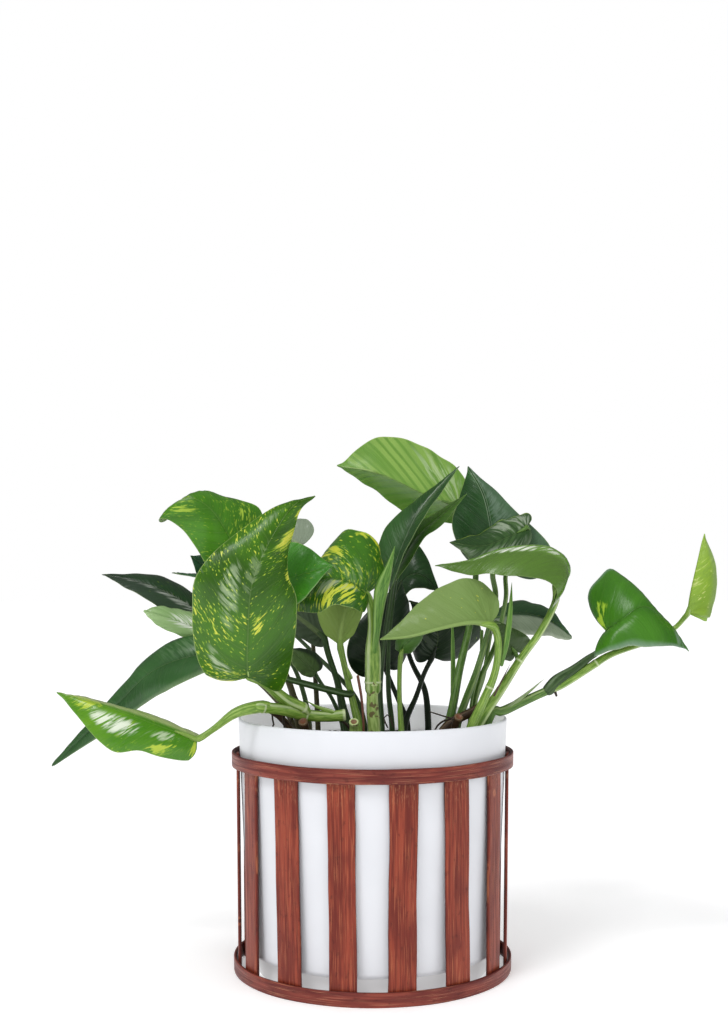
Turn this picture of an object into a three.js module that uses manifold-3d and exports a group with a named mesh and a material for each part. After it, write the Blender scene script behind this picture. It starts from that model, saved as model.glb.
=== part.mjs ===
// A potted pothos plant: a white pot of soil with a leafy plant, standing in a holder of bamboo slats.
// Millimetres, +Z up. The origin is on the floor under the centre of the pot.
import * as THREE from "three";
import { mergeVertices } from "three/addons/utils/BufferGeometryUtils.js";
import Module from "manifold-3d";

const wasm = await Module();
wasm.setup();

// ---- driving dimensions ----
const GAP = 0.3; // left between pieces that touch

// holder
const HOOP_R = 79;
const HOOP_THICK = 1.5;
const HOOP_HEIGHT = 8.1;
const HOLDER_HEIGHT = 124.3;
const HOOP_SIDES = 45;
const SLAT_COUNT = 15;
const SLAT_THICK = 2;
const SLAT_WIDTHS = [15.5, 16.2, 14.8, 16, 15.2]; // hand-split, so no two neighbours are alike
const SLAT_LEANS = [0.4, -0.9, -0.5, 0.7, -0.3, 0.9]; // degrees, across the slat's face

// pot and soil
const POT_BOTTOM_Z = 11.6;
const POT_RIM_Z = 143;
const POT_BOTTOM_R = 70.7;
const POT_RIM_R = 75.1;
const POT_WALL = 2.2;
const POT_FLOOR = 3;
const POT_CORNER = 4;
const FOOT_R = 65.5; // the pot's foot is set back under it
const FOOT_THICK = 2.2;
const POT_SIDES = 60;
const SOIL_SIDES = 40;
const SOIL_Z = 127.8;
const SOIL_CROWN = 1.2;
const ROOT_Z = 114; // where petioles and stems end in the soil
const BORE_CLEARANCE = 0.4;

// leaves
const BLADE_THICK = 0.8;
const PETIOLE_SIDES = 6;
const STEM_SIDES = 8;
const STEM_STEP = 6; // along a stem, from one ring of its corners to the next
const PETIOLE_STEP = 12;

// Half of a blade's outline, from the notch at the petiole to the tip: the midrib's share of its length where
// a vein leaves it, then where that vein meets the margin, along the leaf and across it.
const BLADE_ROWS = [
  [0, -0.02, 0.1],
  [0.02, -0.07, 0.32],
  [0.06, -0.06, 0.6],
  [0.13, 0.06, 0.87],
  [0.26, 0.28, 1],
  [0.42, 0.5, 0.9],
  [0.6, 0.7, 0.62],
  [0.77, 0.85, 0.3],
  [0.9, 0.94, 0.11],
  [1, 1, 0.012],
];
const BLADE_COLUMNS = [0, 0.5, 1];
const WIDEST = 0.28; // along the leaf, where left and right are measured
const NARROWING = 0.68; // along the leaf, where left2 and right2 are measured
const NARROW_WIDTH = 0.65; // of the full width, there

// Each leaf: its midrib from petiole to tip, the margin's furthest point on either side of it (seen on the
// upper face with the tip up), how far the halves bulge, and its petiole from the blade down to its foot.
// A petiole with root is continued into the soil. lobes is how far the left and the right lobe reach back
// past the petiole. A base (left and right) or tip under 1 makes that end of the blade blunter than BLADE_ROWS
// does, and over 1 slimmer.
const LEAVES = {
  leaf_front_marbled: {
    spine: [[-65, -56, 169], [-64, -63, 189], [-60, -66, 222], [-43, -56, 255], [-30, -44, 263]],
    left: [-93, -58, 201], right: [-39, -54, 205], left2: [-75, -60, 239], right2: [-43, -52, 236],
    bulge: 3, lobes: [0.35, 1.5], base: [1.1, 0.7],
    petiole: [[-57, -44, 160], [-46, -38, 155], [-38, -34, 151]], r: 1.8,
  },
  leaf_left_top: {
    spine: [[-74, 24, 222], [-81, 16, 243], [-91, 8, 259], [-102, 5, 265], [-110, 12, 261.5],
      [-112, 22, 258]],
    left: [-95, 12, 229], right: [-64, 34, 257], left2: [-113, 10, 252], right2: [-89, 24, 268],
    bulge: 2, tip: 0.5,
    petiole: [[-67, 22, 202], [-56, 16, 179], [-46, 8, 157], [-42, 4, 136]], r: 1.6, root: true,
  },
  leaf_left_behind_lobe: {
    spine: [[-42, 44, 239], [-51, 52, 244], [-65, 60, 249]],
    left: [-38, 54, 254], right: [-43, 46, 232], bulge: 1,
    petiole: [[-41, 42, 232], [-39, 36, 216], [-36, 32, 196], [-34, 31, 172], [-32, 29, 136]],
    r: 1.2, root: true,
  },
  leaf_centre_left: {
    spine: [[-59, -26, 216], [-45, -36, 220], [-32, -42, 224], [-21, -44, 227]],
    left: [-49, -26, 239], right: [-47, -38, 203], bulge: 2,
    petiole: [[-58, -20, 202], [-53, -14, 181], [-45, -11, 159], [-35, -10, 136]], r: 1.3, root: true,
  },
  leaf_centre_marbled: {
    spine: [[-3, -22, 212], [-12, -30, 218], [-25, -33, 220], [-37, -28, 212], [-45, -22, 202]],
    left: [-16, -38, 206], right: [-4, -10, 245], left2: [-30, -34, 202], right2: [-25, -8, 235],
    bulge: 3, lobes: [0.3, 1.6],
    petiole: [[-1, -22, 205], [0, -20, 187], [0, -18, 164.5]], r: 2.4,
  },
  leaf_top_light: {
    spine: [[52, 58, 262], [31, 48, 269], [4, 46, 281], [-21, 54, 286]],
    left: [25, 64, 257], right: [33, 66, 297], right2: [1, 56, 302], bulge: -2,
    petiole: [[57, 60, 248], [61, 56, 231], [60, 40, 213], [55, 18, 191], [49, 6, 169], [45, -1, 149],
      [42, -4, 136]],
    r: 1.9, root: true,
  },
  leaf_spear_dark: {
    spine: [[11, 6, 221], [18, 8, 240], [29, 12, 261], [49, 18, 283]],
    left: [6, 18, 246], right: [19, -8, 237], left2: [27, 20, 266], right2: [35, 4, 263], bulge: 1,
    petiole: [[9, 6, 202], [6, 6, 180], [4, 6, 157], [5, 6, 136]], r: 1.6, root: true,
  },
  leaf_spear_light: {
    spine: [[13, 22, 222], [25, 18, 243], [38, 18, 255], [54, 26, 268]],
    left: [23, 28, 250], right: [26, 10, 238], left2: [36, 26, 257], right2: [42, 16, 253], bulge: 1,
    petiole: [[11, 20, 202], [9, 18, 179], [9, 16, 156], [11, 14, 136]], r: 1.4, root: true,
  },
  leaf_right_dark: {
    spine: [[73, 42, 228], [70, 38, 244], [65, 38, 267], [56, 46, 285]],
    left: [47, 46, 249], right: [103, 28, 236], left2: [51, 46, 267], right2: [76, 38, 266], bulge: 2,
    petiole: [[70, 36, 222], [71, 26, 209], [66, 10, 192], [59, 0, 170], [52, -4, 152], [47, -6, 137]],
    r: 1.7, root: true,
  },
  leaf_right_folded: {
    spine: [[88.5, 22, 248.5], [76, 14, 243], [61, 8, 238], [43, 4, 240]],
    left: [75, 8, 229], right: [77, 28, 254], bulge: 2,
    petiole: [[87, 26, 239], [77, 25, 224], [76, 18, 208], [70, 12, 183], [60, 8, 160], [56, 6, 136]],
    r: 1.4, root: true,
  },
  leaf_right_arching: {
    spine: [[101, -22, 217], [104, -24, 229], [93, -25, 237], [71, -25, 236], [53, -22, 230], [34, -18, 227]],
    left: [88, -42, 220], right: [96, -9, 230], bulge: 3, lobes: [0, 0.2],
    petiole: [[99, -22, 207], [91, -22, 191], [81, -22, 177], [71, -22, 161], [61, -23, 146], [56, -24, 136]],
    r: 2.4, root: true,
  },
  leaf_right_pale: {
    spine: [[63, -40, 196], [51, -45, 197], [35, -47, 194], [20, -45, 190], [4, -40, 188]],
    left: [48, -30, 220], right: [51, -18, 196], bulge: 2,
    petiole: [[66, -38, 191], [67, -36, 181], [65, -34, 168], [59, -32, 153], [53, -30, 138]],
    r: 2.1, root: true,
  },
  leaf_back_dark: {
    spine: [[7, 34, 169], [7, 32, 184], [10, 33, 200], [17, 38, 219]],
    left: [-15, 30, 178], right: [22, 42, 186], bulge: 2,
    petiole: [[10, 32, 161], [16, 30, 147], [20, 27, 136]], r: 1.5, root: true,
  },
  leaf_back_round: {
    spine: [[12, 58, 209], [21, 52, 221], [30, 50, 221], [40, 50, 211]],
    left: [19, 66, 238], right: [18, 46, 208], bulge: 2,
    petiole: [[16, 57, 195], [23, 52, 171], [31, 46, 154], [33, 42, 136]], r: 1.5, root: true,
  },
  leaf_right_back: {
    spine: [[73, 58, 196], [86, 58, 199], [103, 54, 196], [118, 46, 185]],
    left: [90, 70, 206], right: [87, 46, 187], bulge: 2, tip: 0.65,
    petiole: [[71, 54, 189], [69, 48, 180], [65, 34, 163], [59, 24, 148], [57, 20, 136]],
    r: 1.3, root: true,
  },
  leaf_right_low: {
    spine: [[80, 6, 179], [74, -2, 187], [68, -8, 197]],
    left: [71, 2, 177], right: [90, 14, 185], bulge: 1, lobes: [1.8, 1.8],
    petiole: [[81, 2, 171], [72, -1, 157], [61, -3, 145], [57, -4, 136]], r: 1.2, root: true,
  },
  leaf_middle_dark: {
    spine: [[35, 34, 174], [38, 30, 186], [33, 27, 200], [21, 30, 207]],
    left: [24, 40, 186], right: [64, 40, 188], bulge: 2, lobes: [1.3, 1.3],
    petiole: [[30, 28, 165], [25, 20, 152], [20, 12, 142], [18, 8, 134]], r: 1.5, root: true,
  },
  leaf_runner_heart: {
    spine: [[129, -10, 191], [137, -16, 198], [149, -15, 205], [164, -10, 195], [175, -8, 180]],
    left: [132, 10, 225], right: [133, -27, 186.5], left2: [159, 8, 194], right2: [157, -24, 185],
    bulge: 3, lobes: [0.5, 0.2],
    petiole: [[126, -8, 181], [119, -9, 176], [111, -11, 170], [101.5, -14, 164.5]], r: 1.4,
  },
  leaf_runner_end: {
    spine: [[179, 10, 200], [180, 7, 213], [183, 7, 229], [187, 12, 245]],
    left: [190, -4, 211], right: [192, 12, 208], bulge: 2, base: [0.35, 0.35], lobes: [0.1, 0.1],
    petiole: [[177, 12, 198], [171, 15, 191], [155, 8, 184], [133, -4, 178], [120, -9, 171],
      [103.5, -14, 161.5]],
    r: 1.3,
  },
  leaf_left_narrow: {
    spine: [[-91, 30, 192], [-108, 26, 206], [-128, 24, 216], [-156, 28, 222]],
    left: [-116, 14, 200], right: [-108, 42, 213], bulge: 2,
    petiole: [[-78, 26, 179], [-63, 16, 164], [-50, 9, 151], [-38, 12, 136]], r: 1.3, root: true,
  },
  leaf_left_behind_tip: {
    spine: [[-79, 50, 207], [-87, 46, 215], [-97, 44, 225], [-107, 44, 233]],
    left: [-95, 38, 210], right: [-82, 52, 228], bulge: 1,
    petiole: [[-65, 46, 189], [-49, 40, 172], [-41, 34, 155], [-37, 30, 136]], r: 1.2, root: true,
  },
  leaf_left_behind_edge: {
    spine: [[-81, 68, 217], [-91, 64, 219], [-104, 62, 221], [-121, 64, 223]],
    left: [-90, 56, 218], right: [-91, 78, 220], bulge: 1,
    petiole: [[-63, 62, 201], [-37, 52, 177], [-13, 40, 154], [-5, 34, 136]], r: 1.2, root: true,
  },
  leaf_left_small: {
    spine: [[-83, 14, 185], [-99, 8, 192], [-115, 4, 198], [-128, 4, 202]],
    left: [-108, 2, 188], right: [-103, 18, 200], bulge: 2, tip: 0.8,
    petiole: [[-78, 14, 173], [-60, 7, 157], [-48, -2, 145], [-44, -6, 136]], r: 1.2, root: true,
  },
  leaf_left_drooping: {
    spine: [[-81, -8, 177], [-101, -8, 177], [-125, 0, 167], [-149, 14, 145], [-190, 38, 109]],
    left: [-103, -20, 164], right: [-117, 8, 183], left2: [-135, 4, 145], right2: [-151, 20, 151],
    bulge: 2, tip: 0.62,
    petiole: [[-67, -14, 171], [-45, -20, 165], [-15.5, -15, 157]], r: 1.5,
  },
  leaf_front_glossy: {
    spine: [[-92, -52, 136], [-108, -58, 143], [-131, -60, 152], [-151, -57, 158], [-165, -52, 161]],
    left: [-117, -64, 131], right: [-114, -36, 145], left2: [-141, -64, 137], right2: [-143, -40, 154],
    bulge: 2, lobes: [0.3, 0.3],
    petiole: [[-83, -51, 142], [-72, -49, 150], [-60, -46.5, 153]], r: 1.7,
  },
  leaf_centre_olive: {
    spine: [[-18, -6, 183], [-17, -9, 194], [-14, -6, 205], [-7, 4, 216]],
    left: [-5, 0, 203], right: [-31, 0, 203], bulge: 1.5, lobes: [0, 0], base: [2, 2],
    petiole: [[-16, -8, 174], [-13, -10, 161], [-10, -12, 149], [-7, -14, 136]], r: 1.9, root: true,
  },
  leaf_left_olive: {
    spine: [[-33, 22, 166], [-39, 20, 172], [-48, 22, 180]],
    left: [-42, 12, 167], right: [-32, 27, 176], bulge: 1,
    petiole: [[-29, 20, 159], [-23, 16, 151], [-17, 12, 136]], r: 1.2, root: true,
  },
  leaf_left_shaded: {
    spine: [[-28, 12, 187], [-39, 8, 196], [-51, 8, 204], [-63, 12, 211]],
    left: [-33, 18, 205], right: [-42, 14, 187], bulge: 1,
    petiole: [[-25, 10, 177], [-20, 6, 162], [-17, 4, 148], [-14, 2, 136]], r: 1.9, root: true,
  },
  leaf_centre_small: {
    spine: [[16, -10, 179], [18, -14, 184], [23, -14, 189], [28, -12, 193]],
    left: [13, -8, 186], right: [25, -8, 183], bulge: 1, lobes: [0, 0], base: [1.4, 1.4],
    petiole: [[15, -10, 169], [15, -10, 153], [16, -10, 136]], r: 1.4, root: true,
  },
};

// Stems without a leaf of their own. Each is continued into the soil.
const STEMS = {
  stem_centre: { path: [[0, -18, 164], [0, -18, 150], [1, -18, 137]], r: 3.1 },
  vine_left: {
    path: [[-59, -46, 153], [-47, -38, 150.5], [-36, -31, 147], [-23, -29, 146], [-15, -28, 145],
      [-11, -26, 137]],
    r: 2.1,
  },
  vine_right: {
    path: [[102, -14, 161], [91, -15.5, 156.5], [81, -16.5, 152], [71, -17, 147.5], [66, -17, 147.5],
      [62, -16, 136]],
    r: 2.2,
  },
  old_stem_right: { path: [[60, -15, 150], [53, -14, 146], [44, -13, 141], [38, -13, 134]], r: 2.6 },
  old_stem_left: { path: [[-55, -27, 149], [-50, -25, 145], [-45, -22, 137]], r: 2 },
  cut_stub: { path: [[-10, -37, 144], [-10, -34, 139]], r: 2.2 },
};

// Young leaves that are still rolled into a spike: foot, tip and the radius at the widest.
const SPIKES = {
  spike_centre: { foot: [2.5, -22.5, 172], tip: [12, -27, 237], r: 2.2 },
  spike_right: { foot: [69.2, -32.6, 176], tip: [73, -28, 218], r: 1.7 },
  spike_back: { foot: [46, 15, ROOT_Z], tip: [45, 12, 204], r: 1.6, root: true },
};

// ---- materials ----
const material = (color, roughness) => new THREE.MeshStandardMaterial({ color, roughness, metalness: 0 });
const BAMBOO = material(0x7a2f24, 0.55);
const POT_WHITE = material(0xe6e8ec, 0.45);
const SOIL_DARK = material(0x1d1a18, 0.95);
const LEAF_GREEN = material(0x2f6a1c, 0.4);
const STEM_GREEN = material(0x7c9a3e, 0.5);
const STEM_BROWN = material(0x4a3526, 0.8);

// ---- geometry helpers ----
const vec = (p) => new THREE.Vector3(...p);

// A solid for joining and cutting, from a closed three.js geometry.
function solid(geometry) {
  const bare = geometry.clone();
  bare.deleteAttribute("normal");
  bare.deleteAttribute("uv");
  const merged = mergeVertices(bare, 1e-4);
  const mesh = new wasm.Mesh({
    numProp: 3,
    vertProperties: merged.attributes.position.array,
    triVerts: new Uint32Array(merged.index.array),
  });
  return new wasm.Manifold(mesh);
}

// The other way round: the flat-shaded geometry of a solid.
function geometryOf(made) {
  const mesh = made.getMesh();
  const geometry = new THREE.BufferGeometry();
  geometry.setAttribute("position", new THREE.BufferAttribute(new Float32Array(mesh.vertProperties), 3));
  geometry.setIndex(new THREE.BufferAttribute(new Uint32Array(mesh.triVerts), 1));
  return geometry;
}

function box(width, depth, height) {
  return new THREE.BoxGeometry(width, depth, height).translate(0, 0, height / 2);
}

// A profile of [radius, z] turned about Z.
function turned(profile, sides) {
  const points = profile.map(([r, z]) => new THREE.Vector2(r, z));
  return new THREE.LatheGeometry(points, sides).rotateX(Math.PI / 2);
}

function ring(outer, thick, z, height) {
  const inner = outer - thick;
  return turned([[inner, z], [outer, z], [outer, z + height], [inner, z + height], [inner, z]], HOOP_SIDES);
}

// A round rod along a smooth curve through the points.
function rod(points, radius, sides, stepLength = PETIOLE_STEP) {
  const curve = new THREE.CatmullRomCurve3(points, false, "catmullrom", 0.5);
  const corner = (i) => {
    const turn = (2 * Math.PI * i) / sides;
    return new THREE.Vector2(radius * Math.cos(turn), radius * Math.sin(turn));
  };
  const section = new THREE.Shape(Array.from({ length: sides }, (_, i) => corner(i)));
  const steps = Math.max(2, Math.round(curve.getLength() / stepLength));
  return new THREE.ExtrudeGeometry(section, { steps, extrudePath: curve, bevelEnabled: false });
}

// The points of a rooted piece, continued straight down into the soil.
function rooted(points, depth = 0) {
  const foot = points[points.length - 1].clone();
  foot.z = ROOT_Z - depth;
  return [...points, foot];
}

// A leaf blade: rows of veins between the midrib and each margin, thickened into a closed sheet.
function blade({ spine, left, right, left2, right2, bulge, lobes = [1, 1], base = [1, 1], tip = 1 }) {
  const curve = new THREE.CatmullRomCurve3(spine.map(vec), false, "catmullrom", 0.5);
  const length = curve.getLength();
  const midrib = (share) => {
    const point = curve.getPointAt(THREE.MathUtils.clamp(share, 0, 1));
    return share < 0 ? point.addScaledVector(curve.getTangentAt(0), share * length) : point;
  };
  const reach = (margin, margin2) => {
    const wide = vec(margin).sub(midrib(WIDEST));
    const narrow = margin2 ? vec(margin2).sub(midrib(NARROWING)).divideScalar(NARROW_WIDTH ** tip) : wide;
    return (share) => wide.clone().lerp(narrow, THREE.MathUtils.smoothstep(share, WIDEST, NARROWING));
  };
  const reaches = [reach(left, left2), reach(right, right2)];
  const tangent = (share) => curve.getTangentAt(THREE.MathUtils.clamp(share, 0, 1));
  const faceNormal = (share, side) => {
    const [toLeft, toRight] = reaches.map((r) => r(share));
    const across = side === 0 ? toRight.sub(toLeft) : side < 0 ? toLeft.negate() : toRight;
    return across.cross(tangent(share)).normalize();
  };

  // Points of the middle sheet and their normals, row by row from the left margin to the right one.
  const columns = [...BLADE_COLUMNS.slice(1).reverse().map((u) => -u), ...BLADE_COLUMNS];
  const upper = [];
  const lower = [];
  for (const [start, along, across] of BLADE_ROWS) {
    for (const u of columns) {
      const out = Math.abs(u);
      const end = along < 0 ? along * lobes[u < 0 ? 0 : 1] : along;
      const share = start + (end - start) * out;
      const side = Math.sign(u);
      const point = midrib(share);
      if (side) {
        const width = across ** (along < WIDEST ? base[u < 0 ? 0 : 1] : tip);
        point.addScaledVector(reaches[side < 0 ? 0 : 1](share), width * out);
        point.addScaledVector(faceNormal(share, side), bulge * width * 4 * out * (1 - out));
      }
      const normal = faceNormal(share, side);
      upper.push(point.clone().addScaledVector(normal, BLADE_THICK / 2));
      lower.push(point.clone().addScaledVector(normal, -BLADE_THICK / 2));
    }
  }

  const wide = columns.length;
  const tall = BLADE_ROWS.length;
  const count = upper.length;
  const at = (row, column) => row * wide + column;
  const index = [];
  for (let row = 0; row < tall - 1; row++) {
    for (let column = 0; column < wide - 1; column++) {
      const [a, b] = [at(row, column), at(row, column + 1)];
      const [c, d] = [at(row + 1, column + 1), at(row + 1, column)];
      index.push(a, b, c, a, c, d);
      index.push(count + a, count + c, count + b, count + a, count + d, count + c);
    }
  }
  const rim = [];
  for (let column = 0; column < wide - 1; column++) rim.push(at(0, column));
  for (let row = 0; row < tall - 1; row++) rim.push(at(row, wide - 1));
  for (let column = wide - 1; column > 0; column--) rim.push(at(tall - 1, column));
  for (let row = tall - 1; row > 0; row--) rim.push(at(row, 0));
  rim.forEach((a, i) => {
    const b = rim[(i + 1) % rim.length];
    index.push(a, count + a, count + b, a, count + b, b);
  });
  const geometry = new THREE.BufferGeometry().setFromPoints([...upper, ...lower]);
  geometry.setIndex(index);
  return { geometry, foot: curve.getPointAt(0), heart: curve.getPointAt(0.05) };
}

// ---- sub-parts ----
const plant = new THREE.Group();

function add(name, geometry, finish, group = plant) {
  const mesh = new THREE.Mesh(geometry, finish);
  mesh.name = name;
  group.add(mesh);
}

function buildHolder() {
  const holder = new THREE.Group();
  plant.add(holder);
  const put = (name, geometry) => add(name, geometry, BAMBOO, holder);
  put("hoop_bottom", ring(HOOP_R, HOOP_THICK, 0, HOOP_HEIGHT));
  put("hoop_top", ring(HOOP_R, HOOP_THICK, HOLDER_HEIGHT - HOOP_HEIGHT, HOOP_HEIGHT));

  // A slat is a flat strip, so its long edges come nearest to the inside of the hoops.
  const clearInside = (HOOP_R - HOOP_THICK) * Math.cos(Math.PI / HOOP_SIDES) - GAP;
  const widest = Math.max(...SLAT_WIDTHS) / 2 + 1;
  const faceR = Math.sqrt(clearInside ** 2 - widest ** 2);
  const length = HOLDER_HEIGHT - GAP;
  for (let i = 0; i < SLAT_COUNT; i++) {
    const slat = box(SLAT_WIDTHS[i % SLAT_WIDTHS.length], SLAT_THICK, length);
    const lean = THREE.MathUtils.degToRad(SLAT_LEANS[i % SLAT_LEANS.length]);
    slat.translate(0, 0, -length / 2).rotateY(lean).translate(0, 0, length / 2 + GAP);
    slat.translate(0, -(faceR - SLAT_THICK / 2), 0);
    slat.rotateZ(((i + 0.5) * 2 * Math.PI) / SLAT_COUNT);
    put(`slat_${String(i + 1).padStart(2, "0")}`, slat);
  }
}

const potOuter = (z) => THREE.MathUtils.mapLinear(z, POT_BOTTOM_Z, POT_RIM_Z, POT_BOTTOM_R, POT_RIM_R);

function buildPot() {
  const inside = (z) => potOuter(z) - POT_WALL;
  const floorZ = POT_BOTTOM_Z + POT_FLOOR;
  const profile = [
    [0, POT_BOTTOM_Z],
    [FOOT_R - FOOT_THICK, POT_BOTTOM_Z],
    [FOOT_R - FOOT_THICK, 0],
    [FOOT_R, 0],
    [FOOT_R, POT_BOTTOM_Z],
    [POT_BOTTOM_R - POT_CORNER, POT_BOTTOM_Z],
    [POT_BOTTOM_R - POT_CORNER * 0.3, POT_BOTTOM_Z + POT_CORNER * 0.3],
    [potOuter(POT_BOTTOM_Z + POT_CORNER), POT_BOTTOM_Z + POT_CORNER],
    [POT_RIM_R, POT_RIM_Z - 0.5],
    [POT_RIM_R - 0.5, POT_RIM_Z],
    [inside(POT_RIM_Z) + 0.5, POT_RIM_Z],
    [inside(POT_RIM_Z), POT_RIM_Z - 0.5],
    [inside(floorZ), floorZ],
    [0, floorZ],
  ];
  add("pot", turned(profile, POT_SIDES), POT_WHITE);
}

function buildSoil(bores) {
  const edge = (z) => (potOuter(z) - POT_WALL) * Math.cos(Math.PI / POT_SIDES) - GAP;
  const bottom = POT_BOTTOM_Z + POT_FLOOR + GAP;
  const profile = [
    [0, bottom],
    [edge(bottom), bottom],
    [edge(SOIL_Z), SOIL_Z - SOIL_CROWN],
    [edge(SOIL_Z) * 0.85, SOIL_Z - SOIL_CROWN / 4],
    [0, SOIL_Z],
  ];
  const soil = bores.reduce((rest, bore) => rest.subtract(solid(bore)), solid(turned(profile, SOIL_SIDES)));
  add("soil", geometryOf(soil), SOIL_DARK);
}

// The bore that a rooted piece fills in the soil.
function boreOf(points, r, sides, stepLength) {
  return rod(rooted(points, GAP), r + BORE_CLEARANCE, sides, stepLength);
}

function buildLeaf(name, leaf) {
  const { geometry, foot, heart } = blade(leaf);
  const points = [heart, foot, ...leaf.petiole.map(vec)];
  const petiole = rod(leaf.root ? rooted(points) : points, leaf.r, PETIOLE_SIDES);
  add(name, geometryOf(solid(geometry).add(solid(petiole))), LEAF_GREEN);
  return leaf.root ? [boreOf(points, leaf.r, PETIOLE_SIDES)] : [];
}

function buildStem(name, { path, r }) {
  const points = path.map(vec);
  add(name, rod(rooted(points), r, STEM_SIDES, STEM_STEP), name.startsWith("old") ? STEM_BROWN : STEM_GREEN);
  return [boreOf(points, r, STEM_SIDES, STEM_STEP)];
}

function buildSpike(name, { foot, tip, r, root }) {
  const spike = (from, wide) => {
    const axis = vec(tip).sub(from);
    const length = axis.length();
    const profile = [[0, 0], [wide * 0.8, 0], [wide, length * 0.3], [wide * 0.6, length * 0.75], [0, length]];
    const turn = new THREE.Quaternion().setFromUnitVectors(new THREE.Vector3(0, 0, 1), axis.normalize());
    return turned(profile, STEM_SIDES).applyQuaternion(turn).translate(from.x, from.y, from.z);
  };
  add(name, spike(vec(foot), r), STEM_GREEN);
  return root ? [spike(vec(foot).setZ(foot[2] - GAP), r + BORE_CLEARANCE)] : [];
}

function buildPlant() {
  return [
    ...Object.entries(LEAVES).flatMap(([name, leaf]) => buildLeaf(name, leaf)),
    ...Object.entries(STEMS).flatMap(([name, stem]) => buildStem(name, stem)),
    ...Object.entries(SPIKES).flatMap(([name, spike]) => buildSpike(name, spike)),
  ];
}

buildHolder();
buildPot();
buildSoil(buildPlant());

export default plant;
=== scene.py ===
"""The looks of the potted pothos plant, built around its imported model. +Z up; the tables are in mm."""
import math
import random

import bpy
import numpy as np
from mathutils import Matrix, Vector, noise


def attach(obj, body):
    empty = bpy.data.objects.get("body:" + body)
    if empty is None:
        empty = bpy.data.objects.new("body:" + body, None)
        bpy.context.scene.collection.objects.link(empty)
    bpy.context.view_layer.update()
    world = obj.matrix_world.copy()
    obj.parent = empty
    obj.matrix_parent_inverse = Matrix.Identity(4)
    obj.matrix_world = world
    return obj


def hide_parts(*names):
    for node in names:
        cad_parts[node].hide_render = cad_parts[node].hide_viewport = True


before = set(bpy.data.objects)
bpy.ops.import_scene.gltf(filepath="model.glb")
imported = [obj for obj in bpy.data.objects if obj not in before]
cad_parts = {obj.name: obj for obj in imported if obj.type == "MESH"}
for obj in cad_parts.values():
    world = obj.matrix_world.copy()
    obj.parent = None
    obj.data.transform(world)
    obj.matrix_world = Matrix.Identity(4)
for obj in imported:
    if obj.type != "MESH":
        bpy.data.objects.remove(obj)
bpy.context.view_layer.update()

MM = 0.001

# ---- the camera that was fitted to the photograph ----
CAMERA_PLACE = (0, -0.7597, 0.2243)
CAMERA_PITCH = 0.1  # radians below the horizon
FOCAL_PIXELS = 1359.3
PHOTO_WIDTH = 728
PHOTO_HEIGHT = 1019
AXIS_PIXEL = (372.56, 707.08)  # where the camera's axis meets the photograph
SENSOR_MM = 36

# ---- sizes, in millimetres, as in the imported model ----
GAP = 0.3
HOOP_R = 79
HOOP_THICK = 1.5
HOOP_HEIGHT = 8.1
HOLDER_HEIGHT = 124.3
HOOP_SIDES = 45
SLAT_COUNT = 15
SLAT_THICK = 2
SLAT_WIDTHS = [15.5, 16.2, 14.8, 16, 15.2]
SLAT_LEANS = [0.4, -0.9, -0.5, 0.7, -0.3, 0.9]  # degrees, across the slat's face
POT_BOTTOM_Z = 11.6
POT_RIM_Z = 143
POT_BOTTOM_R = 70.7
POT_RIM_R = 75.1
POT_WALL = 2.2
POT_FLOOR = 3
FOOT_R = 65.5
FOOT_THICK = 2.2
SOIL_Z = 127.8
ROOT_DEPTH = 6  # how far petioles and stems go into the soil here

# Half of a blade's outline, from the notch at the petiole to the tip: the midrib's share of its length where
# a vein leaves it, then where that vein meets the margin, along the leaf and across it.
BLADE_ROWS = [
    [0, -0.02, 0.1],
    [0.02, -0.07, 0.32],
    [0.06, -0.06, 0.6],
    [0.13, 0.06, 0.87],
    [0.26, 0.28, 1],
    [0.42, 0.5, 0.9],
    [0.6, 0.7, 0.62],
    [0.77, 0.85, 0.3],
    [0.9, 0.94, 0.11],
    [1, 1, 0.012],
]
LEAST_WIDTH = 0.012  # of the full width, at the tip
WIDEST = 0.28  # along the leaf, where left and right are measured
NARROWING = 0.68  # along the leaf, where left2 and right2 are measured
NARROW_WIDTH = 0.65  # of the full width, there

WHITE = (1, 1, 1, 1)
BLACK = (0, 0, 0, 1)
YELLOW = "#cdd048"
YELLOW_GREEN = "#8fb52c"
PALE_LINE = "#a9bf74"
GREY_LINE = "#8ea086"


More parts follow.
